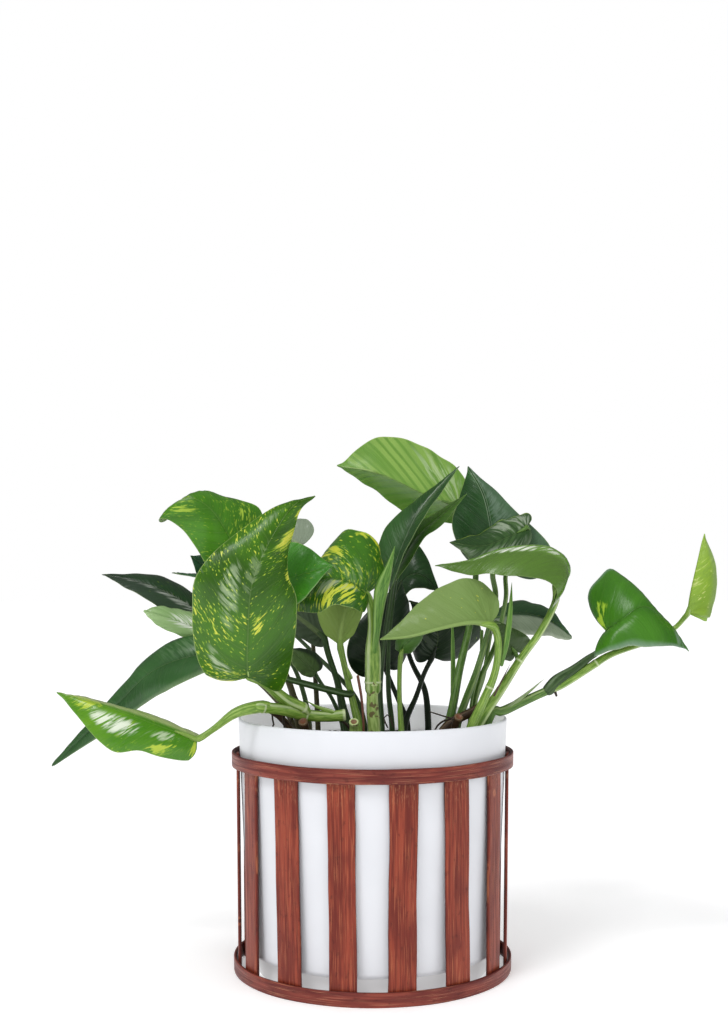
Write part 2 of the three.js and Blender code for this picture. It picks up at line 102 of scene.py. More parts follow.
class Leaf:
    """A leaf: its shape in mm, then its looks. What has a usual value is listed here. Apart from that, each
    has its spine, the midrib from the petiole to the tip; the margin's furthest point to its left and right,
    seen on the upper face with the tip up; how far the halves bulge; its petiole of radius r from the blade
    down; dark and light, which the upper face mixes; and below, the green of the underside."""

    left2 = None  # the margin further towards the tip, on the left
    right2 = None  # and on the right
    lobes = (1, 1)  # how far the left and the right lobe reach back past the petiole
    base = (1, 1)  # left and right: under 1 the base is blunter than in BLADE_ROWS, over 1 slimmer
    tip = 1  # the same for the end of the blade
    joins = None  # the point inside the stem that carries it; without one it goes into the soil
    wave = 0.5  # how much the margins wave
    sag = None  # how the right margin hangs: the middle and the reach of that along the leaf, and how deep
    drop = 1  # how far the petiole starts below the midrib
    stout = 1  # makes the whole petiole thicker
    thick = 1.25  # makes its sheathed end thicker
    sheath = (0.35, 0.9)  # the shares of the petiole where that starts and is full
    rings = ()  # the shares where a node shows
    stem = "dark"  # the finish of the petiole
    rough = 0.4  # how rough its wax is
    coat = 0.12  # how much clear coat lies on it
    veins = 0.12  # how clearly side veins show as pale lines
    furrow_shade = None  # and how much painted shade lies in the groove beside each one
    double = 0  # how clearly the midrib shows as two grey lines
    flecks = 0  # how much of the face is flecked, from 0 to 1
    patches = 0  # and how much of it is in larger patches
    lean = 0  # moves the flecks to the left (-1) or the right (1)
    gold = YELLOW  # the colour of flecks, patches and spots
    spots = ()  # yellow areas: across, the vein they lie on (0 base, 1 tip), width, height and how ragged
    through = 0  # how much the marbling shows on the underside
    tints_sheen_and_shade = ()  # painted sheen, painted shade and the own colour of turned-over margins, each on part of a half: the side, from where to where across, the colour and its strength
    painted_highlights = ()  # painted highlights, silky pale streaks: across, the vein they lie on, width, height, strength and colour

    def __init__(self, **given):
        vars(self).update(given)


LEAVES = {
    "leaf_front_marbled": Leaf(
        spine=[[-65, -56, 169], [-64, -63, 189], [-60, -66, 222], [-43, -56, 255], [-30, -44, 263]],
        left=[-93, -58, 201], right=[-39, -54, 205], left2=[-75, -60, 239], right2=[-43, -52, 236], bulge=3,
        lobes=[0.35, 1.5], base=[1.1, 0.5],
        petiole=[[-56, -44, 164.5], [-46, -38, 155.5], [-38, -34, 151]], r=1.8, joins=[-36, -31, 148],
        dark="#2c5408", light="#41730e", below="#7f9a5a", stem="light", rough=0.32, wave=0.8, drop=1.8,
        thick=1.85, sheath=(0.3, 0.8), rings=[0.93], flecks=0.85, lean=-0.4,
        spots=[(0.72, 0.7, 0.42, 0.05, 3), (1, 0.82, 0.3, 0.04, 3), (-0.95, 0.04, 0.4, 0.07, 5),
               (0.18, 0.4, 0.1, 0.025, 12), (0.97, 0.48, 0.1, 0.06, 8)],
        painted_highlights=[(-0.36, 0.47, 0.2, 0.13, 0.55, "#b4c8a0"), (-0.55, 0.2, 0.22, 0.06, 0.65, "#c3d3b0"),
               (-0.05, 0.62, 0.16, 0.12, 0.35, "#a0b488"), (-0.5, 0.75, 0.2, 0.05, 0.3, "#93ab78")],
    ),
    "leaf_left_top": Leaf(
        spine=[[-74, 24, 222], [-81, 16, 243], [-91, 8, 259], [-102, 5, 265], [-110, 12, 261.5],
               [-112, 22, 258]],
        left=[-95, 12, 229], right=[-64, 34, 257], left2=[-113, 10, 252], right2=[-89, 24, 268], bulge=2,
        tip=0.3,
        petiole=[[-67, 22, 202], [-56, 16, 179], [-46, 8, 157], [-42, 4, 136]], r=1.6,
        dark="#3a7210", light="#4f8f18", below="#86a860", stem="brown", wave=0.9, flecks=0.85,
        gold="#a6c63c",
        spots=[(-0.45, 0.66, 0.18, 0.03, 9), (-0.05, 0.8, 0.15, 0.02, 9), (0.6, 0.4, 0.12, 0.02, 9)],
        painted_highlights=[(-0.2, 0.86, 0.8, 0.14, 0.6, "#8fa67c")],
    ),
    "leaf_left_behind_lobe": Leaf(
        spine=[[-42, 44, 239], [-51, 52, 244], [-65, 60, 249]],
        left=[-38, 54, 254], right=[-43, 46, 232], bulge=1,
        petiole=[[-41, 42, 232], [-39, 36, 216], [-36, 32, 196], [-34, 31, 172], [-32, 29, 136]], r=1.2,
        dark="#6c7e66", light="#84927c", below="#84927c", stem="brown", rough=0.5, wave=0.6,
    ),
    "leaf_centre_left": Leaf(
        spine=[[-59, -26, 216], [-45, -36, 220], [-32, -42, 224], [-21, -44, 227]],
        left=[-49, -26, 239], right=[-47, -38, 203], bulge=2,
        petiole=[[-58, -20, 202], [-53, -14, 181], [-45, -11, 159], [-35, -10, 136]], r=1.3,
        dark="#36761a", light="#468f20", below="#7f9a62", stem="brown", rough=0.35, wave=0.6, flecks=0.3,
        tints_sheen_and_shade=[(1, 0.93, 1, "#8fae74", 0.8)], painted_highlights=[(0.3, 0.3, 0.5, 0.2, 0.3, "#7fae62")],
    ),
    "leaf_centre_marbled": Leaf(
        spine=[[-3, -22, 212], [-12, -30, 218], [-25, -33, 220], [-37, -28, 212], [-45, -22, 202]],
        left=[-16, -38, 206], right=[-4, -10, 245], left2=[-30, -34, 202], right2=[-25, -8, 235], bulge=3,
        lobes=[0.3, 1.6],
        petiole=[[-1, -22, 205], [0, -20, 187], [0, -18, 164.5]], r=2.4, joins=[0, -18, 160],
        dark="#2a5810", light="#3f7417", below="#6f8656", stem="light", rough=0.34, wave=0.8, thick=1.75,
        sheath=(0.4, 0.7), rings=[0.94], flecks=0.95, lean=-0.1, gold="#c2cb38",
        spots=[(0.55, 0.38, 0.16, 0.05, 11), (0.98, 0.14, 0.06, 0.06, 9), (-0.5, 0.42, 0.4, 0.11, 17)],
        painted_highlights=[(-0.3, 0.5, 0.3, 0.2, 0.6, "#b5c2a4"), (0.2, 0.35, 0.25, 0.2, 0.3, "#8aa378")],
    ),
    "leaf_top_light": Leaf(
        spine=[[52, 58, 262], [31, 48, 269], [4, 46, 281], [-21, 54, 286]],
        left=[25, 64, 257], right=[33, 66, 297], right2=[1, 56, 302], bulge=-2,
        petiole=[[57, 60, 248], [61, 56, 231], [60, 40, 213], [55, 18, 191], [49, 6, 169], [45, -1, 149],
               [42, -4, 136]], r=1.9,
        dark="#669338", light="#8cb053", below="#87a768", stem="green", rough=0.36, wave=1, veins=0.14,
        # the tint on the lower half is painted shade, as that half faces down
        furrow_shade=0.95, flecks=0.05, tints_sheen_and_shade=[(-1, 0.02, 0.16, "#4a8020", 0.65)],
        painted_highlights=[(0.5, 0.2, 0.5, 0.14, 0.45, "#c9dbb0")],
    ),
    "leaf_spear_dark": Leaf(
        spine=[[11, 6, 221], [18, 8, 240], [29, 12, 261], [49, 18, 283]],
        left=[6, 18, 246], right=[19, -8, 237], left2=[27, 20, 266], right2=[35, 4, 263], bulge=1,
        petiole=[[9, 6, 202], [6, 6, 180], [4, 6, 157], [5, 6, 136]], r=1.6,
        dark="#22461b", light="#345f28", below="#4c6e4c", rough=0.38, wave=0.4, double=0.55,
        painted_highlights=[(0.3, 0.6, 0.4, 0.35, 0.3, "#7f927a")],
    ),
    "leaf_spear_light": Leaf(
        spine=[[13, 22, 222], [25, 18, 243], [38, 18, 255], [54, 26, 268]],
        left=[23, 28, 250], right=[26, 10, 238], left2=[36, 26, 257], right2=[42, 16, 253], bulge=1,
        petiole=[[11, 20, 202], [9, 18, 179], [9, 16, 156], [11, 14, 136]], r=1.4,
        dark="#39621f", light="#50792c", below="#5c8044", rough=0.42, wave=0.4,
        painted_highlights=[(0.2, 0.4, 0.4, 0.4, 0.3, "#93a682")],
    ),
    "leaf_right_dark": Leaf(
        spine=[[73, 42, 228], [70, 38, 244], [65, 38, 267], [56, 46, 285]],
        left=[47, 46, 249], right=[103, 28, 236], left2=[51, 46, 267], right2=[76, 38, 266], bulge=2,
        petiole=[[70, 36, 222], [71, 26, 209], [66, 10, 192], [59, 0, 170], [52, -4, 152], [47, -6, 137]],
        r=1.7,
        dark="#20451d", light="#31602b", below="#58735a", stem="green", double=0.6, flecks=0.12,
        tints_sheen_and_shade=[(1, 0.05, 0.3, "#5f7562", 0.5)], painted_highlights=[(0.3, 0.6, 0.4, 0.3, 0.35, "#7f9884")],
    ),
    "leaf_right_folded": Leaf(
        spine=[[88.5, 22, 248.5], [76, 14, 243], [61, 8, 238], [43, 4, 240]],
        left=[75, 8, 229], right=[77, 28, 254], bulge=2,
        petiole=[[87, 26, 239], [77, 25, 224], [76, 18, 208], [70, 12, 183], [60, 8, 160], [56, 6, 136]],
        r=1.4,
        dark="#26451f", light="#4a6a38", below="#6b8566", stem="green", rough=0.33, wave=1.2, furrow_shade=0.85,
        flecks=0.25, tints_sheen_and_shade=[(-1, 0.4, 0.9, "#66785a", 0.4), (1, 0.9, 1, "#9cb63c", 0.6)],
        painted_highlights=[(0.5, 0.3, 0.5, 0.3, 0.7, "#a3b09a"), (-0.6, 0.5, 0.4, 0.4, 0.6, "#9aa892")],
    ),
    "leaf_right_arching": Leaf(
        spine=[[101, -22, 217], [104, -24, 229], [93, -25, 237], [71, -25, 236], [53, -22, 230],
               [34, -18, 227]],
        left=[88, -42, 220], right=[96, -9, 230], bulge=3, lobes=[0, 0.2],
        petiole=[[99, -22, 207], [91, -22, 191], [81, -22, 177], [71, -22, 161], [61, -23, 146],
               [56, -24, 136]], r=2.4,
        dark="#527f22", light="#72a03a", below="#6d9040", stem="light", rough=0.28, coat=0.3, wave=0.8,
        # the tint on the left half, which hangs lower, is painted shade; the white streaks below are a
        # painted highlight
        thick=1.35, rings=[0.5], veins=0.1, tints_sheen_and_shade=[(-1, 0.1, 0.4, "#4c6a2a", 0.85)],
        painted_highlights=[(-0.14, 0.62, 0.2, 0.3, 1, "#f3f8ea")],
    ),
    "leaf_right_pale": Leaf(
        spine=[[63, -40, 196], [51, -45, 197], [35, -47, 194], [20, -45, 190], [4, -40, 188]],
        left=[48, -30, 220], right=[51, -18, 196], bulge=2,
        petiole=[[66, -38, 191], [67, -36, 181], [65, -34, 168], [59, -32, 153], [53, -30, 138]], r=2.1,
        dark="#577d30", light="#6f9443", below="#76904e", stem="light", rough=0.5, wave=0.7, thick=1.3,
        rings=[0.52], veins=0.14, furrow_shade=0.35, flecks=0.4, painted_highlights=[(0.4, 0.4, 0.6, 0.3, 0.25, "#9fb57c")],
    ),
    "leaf_back_dark": Leaf(
        spine=[[7, 34, 169], [7, 32, 184], [10, 33, 200], [17, 38, 219]],
        left=[-15, 30, 178], right=[22, 42, 186], bulge=2,
        petiole=[[10, 32, 161], [16, 30, 147], [20, 27, 136]], r=1.5,
        dark="#122612", light="#1b371a", below="#3a5238", stem="black", rough=0.45,
    ),
    "leaf_back_round": Leaf(
        spine=[[12, 58, 209], [21, 52, 221], [30, 50, 221], [40, 50, 211]],
        left=[19, 66, 238], right=[18, 46, 208], bulge=2,
        petiole=[[16, 57, 195], [23, 52, 171], [31, 46, 154], [33, 42, 136]], r=1.5,
        dark="#173114", light="#22441d", below="#3c5a40", stem="black", rough=0.42,
    ),
    "leaf_right_back": Leaf(
        spine=[[73, 58, 196], [86, 58, 199], [103, 54, 196], [118, 46, 185]],
        left=[90, 70, 206], right=[87, 46, 187], bulge=2, tip=0.65,
        petiole=[[71, 54, 189], [69, 48, 180], [65, 34, 163], [59, 24, 148], [57, 20, 136]], r=1.3,
        dark="#28482a", light="#385e36", below="#93a18f", stem="green", wave=0.8, flecks=0.4,
        tints_sheen_and_shade=[(1, 0.1, 0.3, "#9aa88f", 0.85), (1, 0.8, 1, "#d5dccb", 0.5)],
    ),
    "leaf_right_low": Leaf(
        spine=[[80, 6, 179], [74, -2, 187], [68, -8, 197]],
        left=[71, 2, 177], right=[90, 14, 185], bulge=1, lobes=[1.8, 1.8],
        petiole=[[81, 2, 171], [72, -1, 157], [61, -3, 145], [57, -4, 136]], r=1.2,
        dark="#2c4716", light="#3a561b", below="#425c24", stem="green", rough=0.5, veins=0.05,
    ),
    "leaf_middle_dark": Leaf(
        spine=[[35, 34, 174], [38, 30, 186], [33, 27, 200], [21, 30, 207]],
        left=[24, 40, 186], right=[64, 40, 188], bulge=2, lobes=[1.3, 1.3],
        petiole=[[30, 28, 165], [25, 20, 152], [20, 12, 142], [18, 8, 134]], r=1.5,
        dark="#142813", light="#203a1c", below="#4a5e44", stem="black", wave=0.6, flecks=0.15,
        tints_sheen_and_shade=[(-1, 0.05, 0.4, "#3c4a40", 0.4)], painted_highlights=[(-0.4, 0.4, 0.5, 0.3, 0.4, "#7c8878")],
    ),
    "leaf_runner_heart": Leaf(
        spine=[[129, -10, 191], [137, -16, 198], [149, -15, 205], [164, -10, 195], [175, -8, 180]],
        left=[132, 10, 225], right=[133, -27, 186.5], left2=[159, 8, 194], right2=[157, -24, 185], bulge=3,
        lobes=[0.5, 0.2], base=[1, 0.4],
        petiole=[[126, -8, 181], [119, -9, 176], [111, -11, 170], [101.5, -14, 164.5]], r=1.4,
        joins=[97, -15, 159.6],
        dark="#336c0f", light="#457f1d", below="#7c9c60", rough=0.34, wave=0.8, sag=(0.42, 0.2, 6),
        stout=1.35, thick=1.9, veins=0.1, gold="#a9cc3e", spots=[(-0.35, 0.12, 0.25, 0.09, 7)],
        tints_sheen_and_shade=[(1, 0.85, 1, "#8fa29a", 0.6), (-1, 0.9, 1, "#7f9a8c", 0.6)],
        painted_highlights=[(-0.85, 0.45, 0.25, 0.15, 0.5, "#93a698"), (0.6, 0.85, 0.5, 0.15, 0.55, "#8a9d90")],
    ),
    "leaf_runner_end": Leaf(
        spine=[[179, 10, 200], [180, 7, 213], [183, 7, 229], [187, 12, 245]],
        left=[190, -4, 211], right=[192, 12, 208], bulge=2, lobes=[0.1, 0.1], base=[0.35, 0.35],
        petiole=[[177, 12, 198], [171, 15, 191], [155, 8, 184], [133, -4, 178], [120, -9, 171],
               [103.5, -14, 161.5]], r=1.3, joins=[98, -15, 159.8],
        dark="#80a634", light="#9fc04c", below="#a3bd58", stem="light", wave=0.4, stout=1.25, thick=1.5,
        rings=[0.72], flecks=0.8, patches=0.9, gold="#d6e08c", through=0.8,
        tints_sheen_and_shade=[(-1, 0.6, 1, "#93a67c", 0.6)],
    ),
    "leaf_left_narrow": Leaf(
        spine=[[-91, 30, 192], [-108, 26, 206], [-128, 24, 216], [-156, 28, 222]],
        left=[-116, 14, 200], right=[-108, 42, 213], bulge=2,
        petiole=[[-78, 26, 179], [-63, 16, 164], [-50, 9, 151], [-38, 12, 136]], r=1.3,
        dark="#18301a", light="#264326", below="#59645c", rough=0.34, flecks=0.3,
        tints_sheen_and_shade=[(-1, 0.1, 0.35, "#3f4a40", 0.45)], painted_highlights=[(-0.2, 0.55, 0.3, 0.6, 0.75, "#aab0a6")],
    ),
    "leaf_left_behind_tip": Leaf(
        spine=[[-79, 50, 207], [-87, 46, 215], [-97, 44, 225], [-107, 44, 233]],
        left=[-95, 38, 210], right=[-82, 52, 228], bulge=1,
        petiole=[[-65, 46, 189], [-49, 40, 172], [-41, 34, 155], [-37, 30, 136]], r=1.2,
        dark="#173f26", light="#205230", below="#46644e", wave=0.3,
    ),
    "leaf_left_behind_edge": Leaf(
        spine=[[-81, 68, 217], [-91, 64, 219], [-104, 62, 221], [-121, 64, 223]],
        left=[-90, 56, 218], right=[-91, 78, 220], bulge=1,
        petiole=[[-63, 62, 201], [-37, 52, 177], [-13, 40, 154], [-5, 34, 136]], r=1.2,
        dark="#24482c", light="#33603a", below="#577058", flecks=0.2,
    ),
    "leaf_left_small": Leaf(
        spine=[[-83, 14, 185], [-99, 8, 192], [-115, 4, 198], [-128, 4, 202]],
        left=[-108, 2, 188], right=[-103, 18, 200], bulge=2, tip=0.8,
        petiole=[[-78, 14, 173], [-60, 7, 157], [-48, -2, 145], [-44, -6, 136]], r=1.2,
        dark="#7ea361", light="#a0c084", below="#8fb474", stem="brown", rough=0.24, coat=0.4, wave=0.7,
        veins=0.05, painted_highlights=[(0, 0.5, 0.6, 0.26, 0.95, "#f4f8ee")],
    ),
    "leaf_left_drooping": Leaf(
        spine=[[-81, -8, 177], [-101, -8, 177], [-125, 0, 167], [-149, 14, 145], [-190, 38, 109]],
        left=[-103, -20, 164], right=[-117, 8, 183], left2=[-135, 4, 145], right2=[-151, 20, 151], bulge=2,
        tip=0.62,
        petiole=[[-67, -14, 171], [-45, -20, 165], [-15.5, -15, 157]], r=1.5, joins=[-12, -12, 157],
        dark="#264f1f", light="#35622d", below="#86a27c", rough=0.42, wave=0.7, veins=0.06,
        tints_sheen_and_shade=[(-1, 0.8, 1, "#839c72", 0.6)], painted_highlights=[(0.4, 0.25, 0.6, 0.2, 0.35, "#7c9a72")],
    ),
    "leaf_front_glossy": Leaf(
        spine=[[-92, -52, 136], [-108, -58, 143], [-131, -60, 152], [-151, -57, 158], [-165, -52, 161]],
        left=[-117, -64, 131], right=[-114, -36, 145], left2=[-141, -64, 137], right2=[-143, -40, 154],
        bulge=2, lobes=[0.3, 0.3],
        petiole=[[-83, -51, 142], [-72, -49, 150], [-60, -46.5, 153]], r=1.7, joins=[-56, -44, 152.5],
        dark="#447f10", light="#669a1e", below="#93b066", stem="light", rough=0.26, coat=0.3, wave=0.9,
        thick=1.9, flecks=0.5, patches=0.4, gold="#b0c63a",
        spots=[(-0.5, 0.12, 0.4, 0.03, 12), (0.2, 0.82, 0.8, 0.1, 6), (-0.75, 0.3, 0.2, 0.03, 14)],
        tints_sheen_and_shade=[(1, 0.05, 0.25, "#b6c97e", 0.85)],
        painted_highlights=[(-0.4, 0.6, 0.3, 0.17, 0.9, "#e4ecd8"), (-0.3, 0.36, 0.22, 0.07, 0.6, "#d5e2c2")],
    ),
    "leaf_centre_olive": Leaf(
        spine=[[-18, -6, 183], [-17, -9, 194], [-14, -6, 205], [-7, 4, 216]],
        left=[-5, 0, 203], right=[-31, 0, 203], bulge=1.5, lobes=[0, 0], base=[2, 2],
        petiole=[[-16, -8, 174], [-13, -10, 161], [-10, -12, 149], [-7, -14, 136]], r=1.9,
        dark="#6c8c3c", light="#86a452", below="#8eaa54", stem="light", rough=0.55, wave=0.4, thick=1.4,
        veins=0.05,
    ),
    "leaf_left_olive": Leaf(
        spine=[[-33, 22, 166], [-39, 20, 172], [-48, 22, 180]],
        left=[-42, 12, 167], right=[-32, 27, 176], bulge=1,
        petiole=[[-29, 20, 159], [-23, 16, 151], [-17, 12, 136]], r=1.2,
        dark="#4f6a38", light="#627e44", below="#627e4a", rough=0.5, wave=0.4, veins=0.04,
        tints_sheen_and_shade=[(1, 0.4, 0.7, "#1f3220", 0.9)],
    ),
    "leaf_left_shaded": Leaf(
        spine=[[-28, 12, 187], [-39, 8, 196], [-51, 8, 204], [-63, 12, 211]],
        left=[-33, 18, 205], right=[-42, 14, 187], bulge=1,
        petiole=[[-25, 10, 177], [-20, 6, 162], [-17, 4, 148], [-14, 2, 136]], r=1.9,
        dark="#1f361a", light="#2f4a28", below="#4f5f48", wave=0.4, thick=1.5, veins=0.05,
    ),
    "leaf_centre_small": Leaf(
        spine=[[16, -10, 179], [18, -14, 184], [23, -14, 189], [28, -12, 193]],
        left=[13, -8, 186], right=[25, -8, 183], bulge=1, lobes=[0, 0], base=[1.4, 1.4],
        petiole=[[15, -10, 169], [15, -10, 153], [16, -10, 136]], r=1.4,
        dark="#456e2c", light="#5f8a3c", below="#6a9450", stem="light", rough=0.45, wave=0.3, veins=0.05,
    ),
}

# Stems without a leaf of their own. A rooted one is continued into the soil, rings are the shares where a
# node shows, and foot is the course of a brown root that leaves it.
STEMS = {
    "stem_centre": {
        "path": [[0, -18, 164], [0, -18, 150], [1, -18, 137]],
        "r": 3.4, "finish": "scabbed", "rooted": True, "rings": [0.04],
    },
    "vine_left": {
        "path": [[-15, -28, 146.6], [-24, -29, 146], [-36, -31, 147], [-47, -38, 150.5], [-60, -47, 153]],
        "r": 3.2, "finish": "light", "rings": [0.42, 0.95], "cut": True,
        "foot": [[-20, -28, 146], [-14, -26, 141], [-11, -25, 135], [-10, -25, 122]],
    },
    "vine_right": {
        "path": [[103, -14, 161.5], [91, -15.5, 156.5], [81, -16.5, 152], [71, -17, 147.5], [66, -17, 147.5],
                 [62, -16, 136]],
        "r": 2.5, "finish": "green", "rooted": True, "rings": [0.06],
    },
    "old_stem_right": {
        "path": [[60, -15, 150], [53, -14, 146], [44, -13, 141], [38, -13, 134]],
        "r": 2.6, "finish": "old", "rooted": True,
    },
    "old_stem_left": {
        "path": [[-55, -27, 149], [-50, -25, 145], [-45, -22, 137]],
        "r": 2, "finish": "old", "rooted": True,
    },
    "cut_stub": {
        "path": [[-10, -38, 144], [-10, -33.5, 139]],
        "r": 2.4, "finish": "scabbed", "rooted": True, "cut": True,
    },
}

# Young leaves that are still rolled into a spike: their course, and their radius at shares of its length.
SPIKES = {
    "spike_centre": (
        [[0.8, -21, 180], [2.2, -24, 192], [3.2, -25.5, 204], [4.6, -26.5, 214], [8.6, -27, 226],
         [12, -27, 237.5]],
        [(0, 1.6), (0.2, 1.9), (0.42, 2.9), (0.58, 3.7), (0.68, 3.1), (0.82, 1.7), (1, 0.08)],
    ),
    "spike_right": (
        [[69.2, -32.6, 174], [71.5, -32.5, 186], [73.5, -31, 201], [74.6, -28.5, 218]],
        [(0, 0.8), (0.25, 1.5), (0.5, 1.6), (0.75, 1), (1, 0.08)],
    ),
    "spike_back": (
        [[46, 15, 122], [46.2, 14.4, 150], [45.6, 13, 180], [45, 12, 204]],
        [(0, 1.3), (0.4, 1.6), (0.75, 1.1), (1, 0.08)],
    ),
}

# Small things between the stems, each with its finish, radius and course: dry sheaths and buds end in a
# point, cut ends start with a flat cut, and rootlets are thin.
SMALL_PARTS = {
    "sheath_right": ("olive", 1.4, [[75, -18, 150.2], [84, -18.3, 157], [94, -18, 165.5]]),
    "sheath_arching": ("spike", 1.2, [[96.4, -23, 202], [100.5, -24, 214], [106, -23.5, 228]]),
    "sheath_olive": ("light", 1.3, [[-12, -13.5, 166], [-14.5, -13.5, 172], [-16.5, -13.5, 177]]),
    "bud_left": ("light", 1.6, [[-22, -30, 148.5], [-30, -31, 151.5], [-36, -32, 155]]),
    "nub_right": ("root", 0.9, [[100, -15.5, 159], [101, -16, 156]]),
    "cut_left": ("old", 2.4, [[-37.3, -36.5, 144], [-36, -31, 139], [-35, -27, 132]]),
    "sheath_thin": ("old", 0.6, [[65, -36, 158], [69.5, -36, 167], [74, -36, 176]]),
    "cut_right": ("old", 2.3, [[46.5, -31, 146], [45, -26, 141], [43, -21, 132]]),
    "root_thin_1": ("root", 0.45, [[8, -37, 141], [6, -38, 146], [9, -37, 147.5], [11, -37, 141]]),
    "root_thin_2": ("root", 0.5, [[46, -30, 144], [39, -30, 146], [31, -30, 148.5]]),
    "root_thin_3": ("root", 0.6, [[44, -29, 145], [38, -27, 143], [34, -25, 138], [33, -24, 128]]),
    "root_thin_4": ("root", 0.6, [[-50, -30, 150], [-54, -33, 147], [-53, -36, 142], [-56, -38, 138]]),
    "root_thin_5": ("root", 0.7, [[-46, -29, 149], [-48, -34, 145], [-47, -37, 139], [-50, -39, 132]]),
    "root_thin_6": ("root", 0.5, [[-42, -30, 147], [-44, -36, 143], [-41, -40, 140], [-42, -42, 132]]),
    "stalk_red": ("red", 0.8, [[-8, -22, 167], [-6, -22, 155], [-5, -22, 142], [-5, -22, 124]]),
    "stalk_pale": ("green", 1, [[62, 12, 190], [61, 8, 172], [56, 4, 152], [53, 2, 124]]),
}

STEM_LOOKS = {
    # dark, light, the groove's edges, scabs
    "light": ("#5c8428", "#93b252", "#cfdcae", 0.1),
    "green": ("#3f6424", "#688c3e", "#a9bc80", 0.08),
    "olive": ("#66804a", "#93a678", "#b9c49e", 0.12),
    "dark": ("#26401c", "#3f5c2c", "#6d8560", 0.1),
    "brown": ("#3c3a22", "#55502f", "#6e6a48", 0.3),
    "black": ("#141f14", "#24321f", "#3a4632", 0.25),
    "scabbed": ("#7d9a48", "#a3bd6c", "#c3d394", 1),
    "old": ("#2f2118", "#57402c", "#7a6248", 0.8),
    "spike": ("#416f22", "#6f9a40", "#98b866", 0),
    "root": ("#1d1712", "#3d2f25", "#54463a", 0.5),
    "red": ("#5a2f26", "#7c4c38", "#8f6a50", 0.2),
}


# ---- curves ----
SPAN_STEPS = 24
TANGENT_STEP = 0.004  # the share of a path over which its direction is measured


def through(points, steps=SPAN_STEPS):
    """Points on the smooth curve through the given ones, with that many steps in each span."""
    given = np.array(points, float)
    ends = np.vstack([2 * given[0] - given[1], given, 2 * given[-1] - given[-2]])
    found = []
    for a, b, c, d in zip(ends, ends[1:], ends[2:], ends[3:]):
        for w in np.arange(steps) / steps:
            swing = (c - a) * (w**3 - 2 * w**2 + w) + (d - b) * (w**3 - w**2)
            found.append(b * (2 * w**3 - 3 * w**2 + 1) + c * (3 * w**2 - 2 * w**3) + swing / 2)
    return np.array(found + [given[-1]])


def unit(vectors):
    return vectors / np.maximum(np.linalg.norm(vectors, axis=-1, keepdims=True), 1e-12)


class Path:
    """A curve whose points are found by their share of its length. Before its start it goes straight on."""

    def __init__(self, points):
        self.points = through(points)
        gone = np.linalg.norm(np.diff(self.points, axis=0), axis=1)
        self.reached = np.concatenate([[0], np.cumsum(gone)])
        self.length = self.reached[-1]

    def within(self, share):
        return np.stack([np.interp(share * self.length, self.reached, axis) for axis in self.points.T], -1)

    def at(self, share):
        share = np.asarray(share, float)
        before = np.minimum(share, 0)[..., None] * self.length
        return self.within(share) + before * self.tangent(np.zeros_like(share))

    def tangent(self, share):
        low = np.clip(np.asarray(share, float) - TANGENT_STEP, 0, 1 - 2 * TANGENT_STEP)
        return unit(self.within(low + 2 * TANGENT_STEP) - self.within(low))


def smoothstep(low, high, value):
    part = np.clip((value - low) / (high - low), 0, 1)
    return part * part * (3 - 2 * part)


def hump(value, reach):
    """1 at 0, falling away over the reach on either side."""
    return np.exp(-((value / reach) ** 2))


def wavy(place, size, seed=0.0):
    """Smooth noise about -1 to 1 at a place, in waves of about that size."""
    return noise.noise(Vector(place) / size + Vector((seed, 1.7 * seed, 0.3 * seed)))


def circle(count):
    """That many angles round a circle, in radians."""
    return np.arange(count) / count * 2 * math.pi


# ---- meshes ----
KINDS = ("blade", "vein", "stem", "grain")  # vectors that the materials read


class Shape:
    """Points in mm, faces and what the materials read, gathered for one mesh."""

    def __init__(self):
        self.points = []
        self.faces = []
        self.finish = []
        self.values = {kind: [] for kind in KINDS}
        self.sharp = set()

    def add(self, points, faces, finish=0, sharp=(), **values):
        first = len(self.points)
        self.points.extend(tuple(p) for p in points)
        self.faces.extend(tuple(first + i for i in face) for face in faces)
        self.finish.extend([finish] * len(faces))
        self.sharp.update(frozenset((first + a, first + b)) for a, b in sharp)
        for kind in KINDS:
            self.values[kind].extend(tuple(v) for v in values.get(kind, [(0, 0, 0)] * len(points)))

    def build(self, name, materials, slot, *nodes):
        """The mesh as a piece of the object, which stands for those nodes."""
        mesh = bpy.data.meshes.new(name)
        mesh.from_pydata((np.array(self.points) * MM).tolist(), [], self.faces)
        mesh.polygons.foreach_set("material_index", self.finish)
        mesh.polygons.foreach_set("use_smooth", [True] * len(self.faces))
        for kind, values in self.values.items():
            if np.any(values):
                read = mesh.attributes.new(kind, "FLOAT_VECTOR", "POINT")
                read.data.foreach_set("vector", np.ravel(values))
        if self.sharp:
            flags = [frozenset(edge.vertices) in self.sharp for edge in mesh.edges]
            mesh.attributes.new("sharp_edge", "BOOLEAN", "EDGE").data.foreach_set("value", flags)
        for material in materials:
            mesh.materials.append(material)
        mesh.update()
        piece = bpy.data.objects.new(name, mesh)
        bpy.context.scene.collection.objects.link(piece)
        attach(piece, "root")
        if nodes:
            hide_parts(*nodes)
        return piece


def grid_faces(rows, columns, first=0, closed=False, flip=False):
    """The four-sided faces between rows of points; closed joins the last column to the first."""
    faces = []
    for row in range(rows - 1):
        for column in range(columns if closed else columns - 1):
            after = (column + 1) % columns
            low, high = first + row * columns, first + (row + 1) * columns
            face = [low + column, low + after, high + after, high + column]
            faces.append(face[::-1] if flip else face)
    return faces


def lump_faces(rings, around):
    """The faces of a first point, rings of points under it and a last point."""
    last = 1 + (rings - 1) * around
    pairs = [(i, (i + 1) % around) for i in range(around)]
    faces = [[0, 1 + i, 1 + j] for i, j in pairs]
    faces += grid_faces(rings, around, first=1, closed=True, flip=True)
    return faces + [[last + j, last + i, last + around] for i, j in pairs]


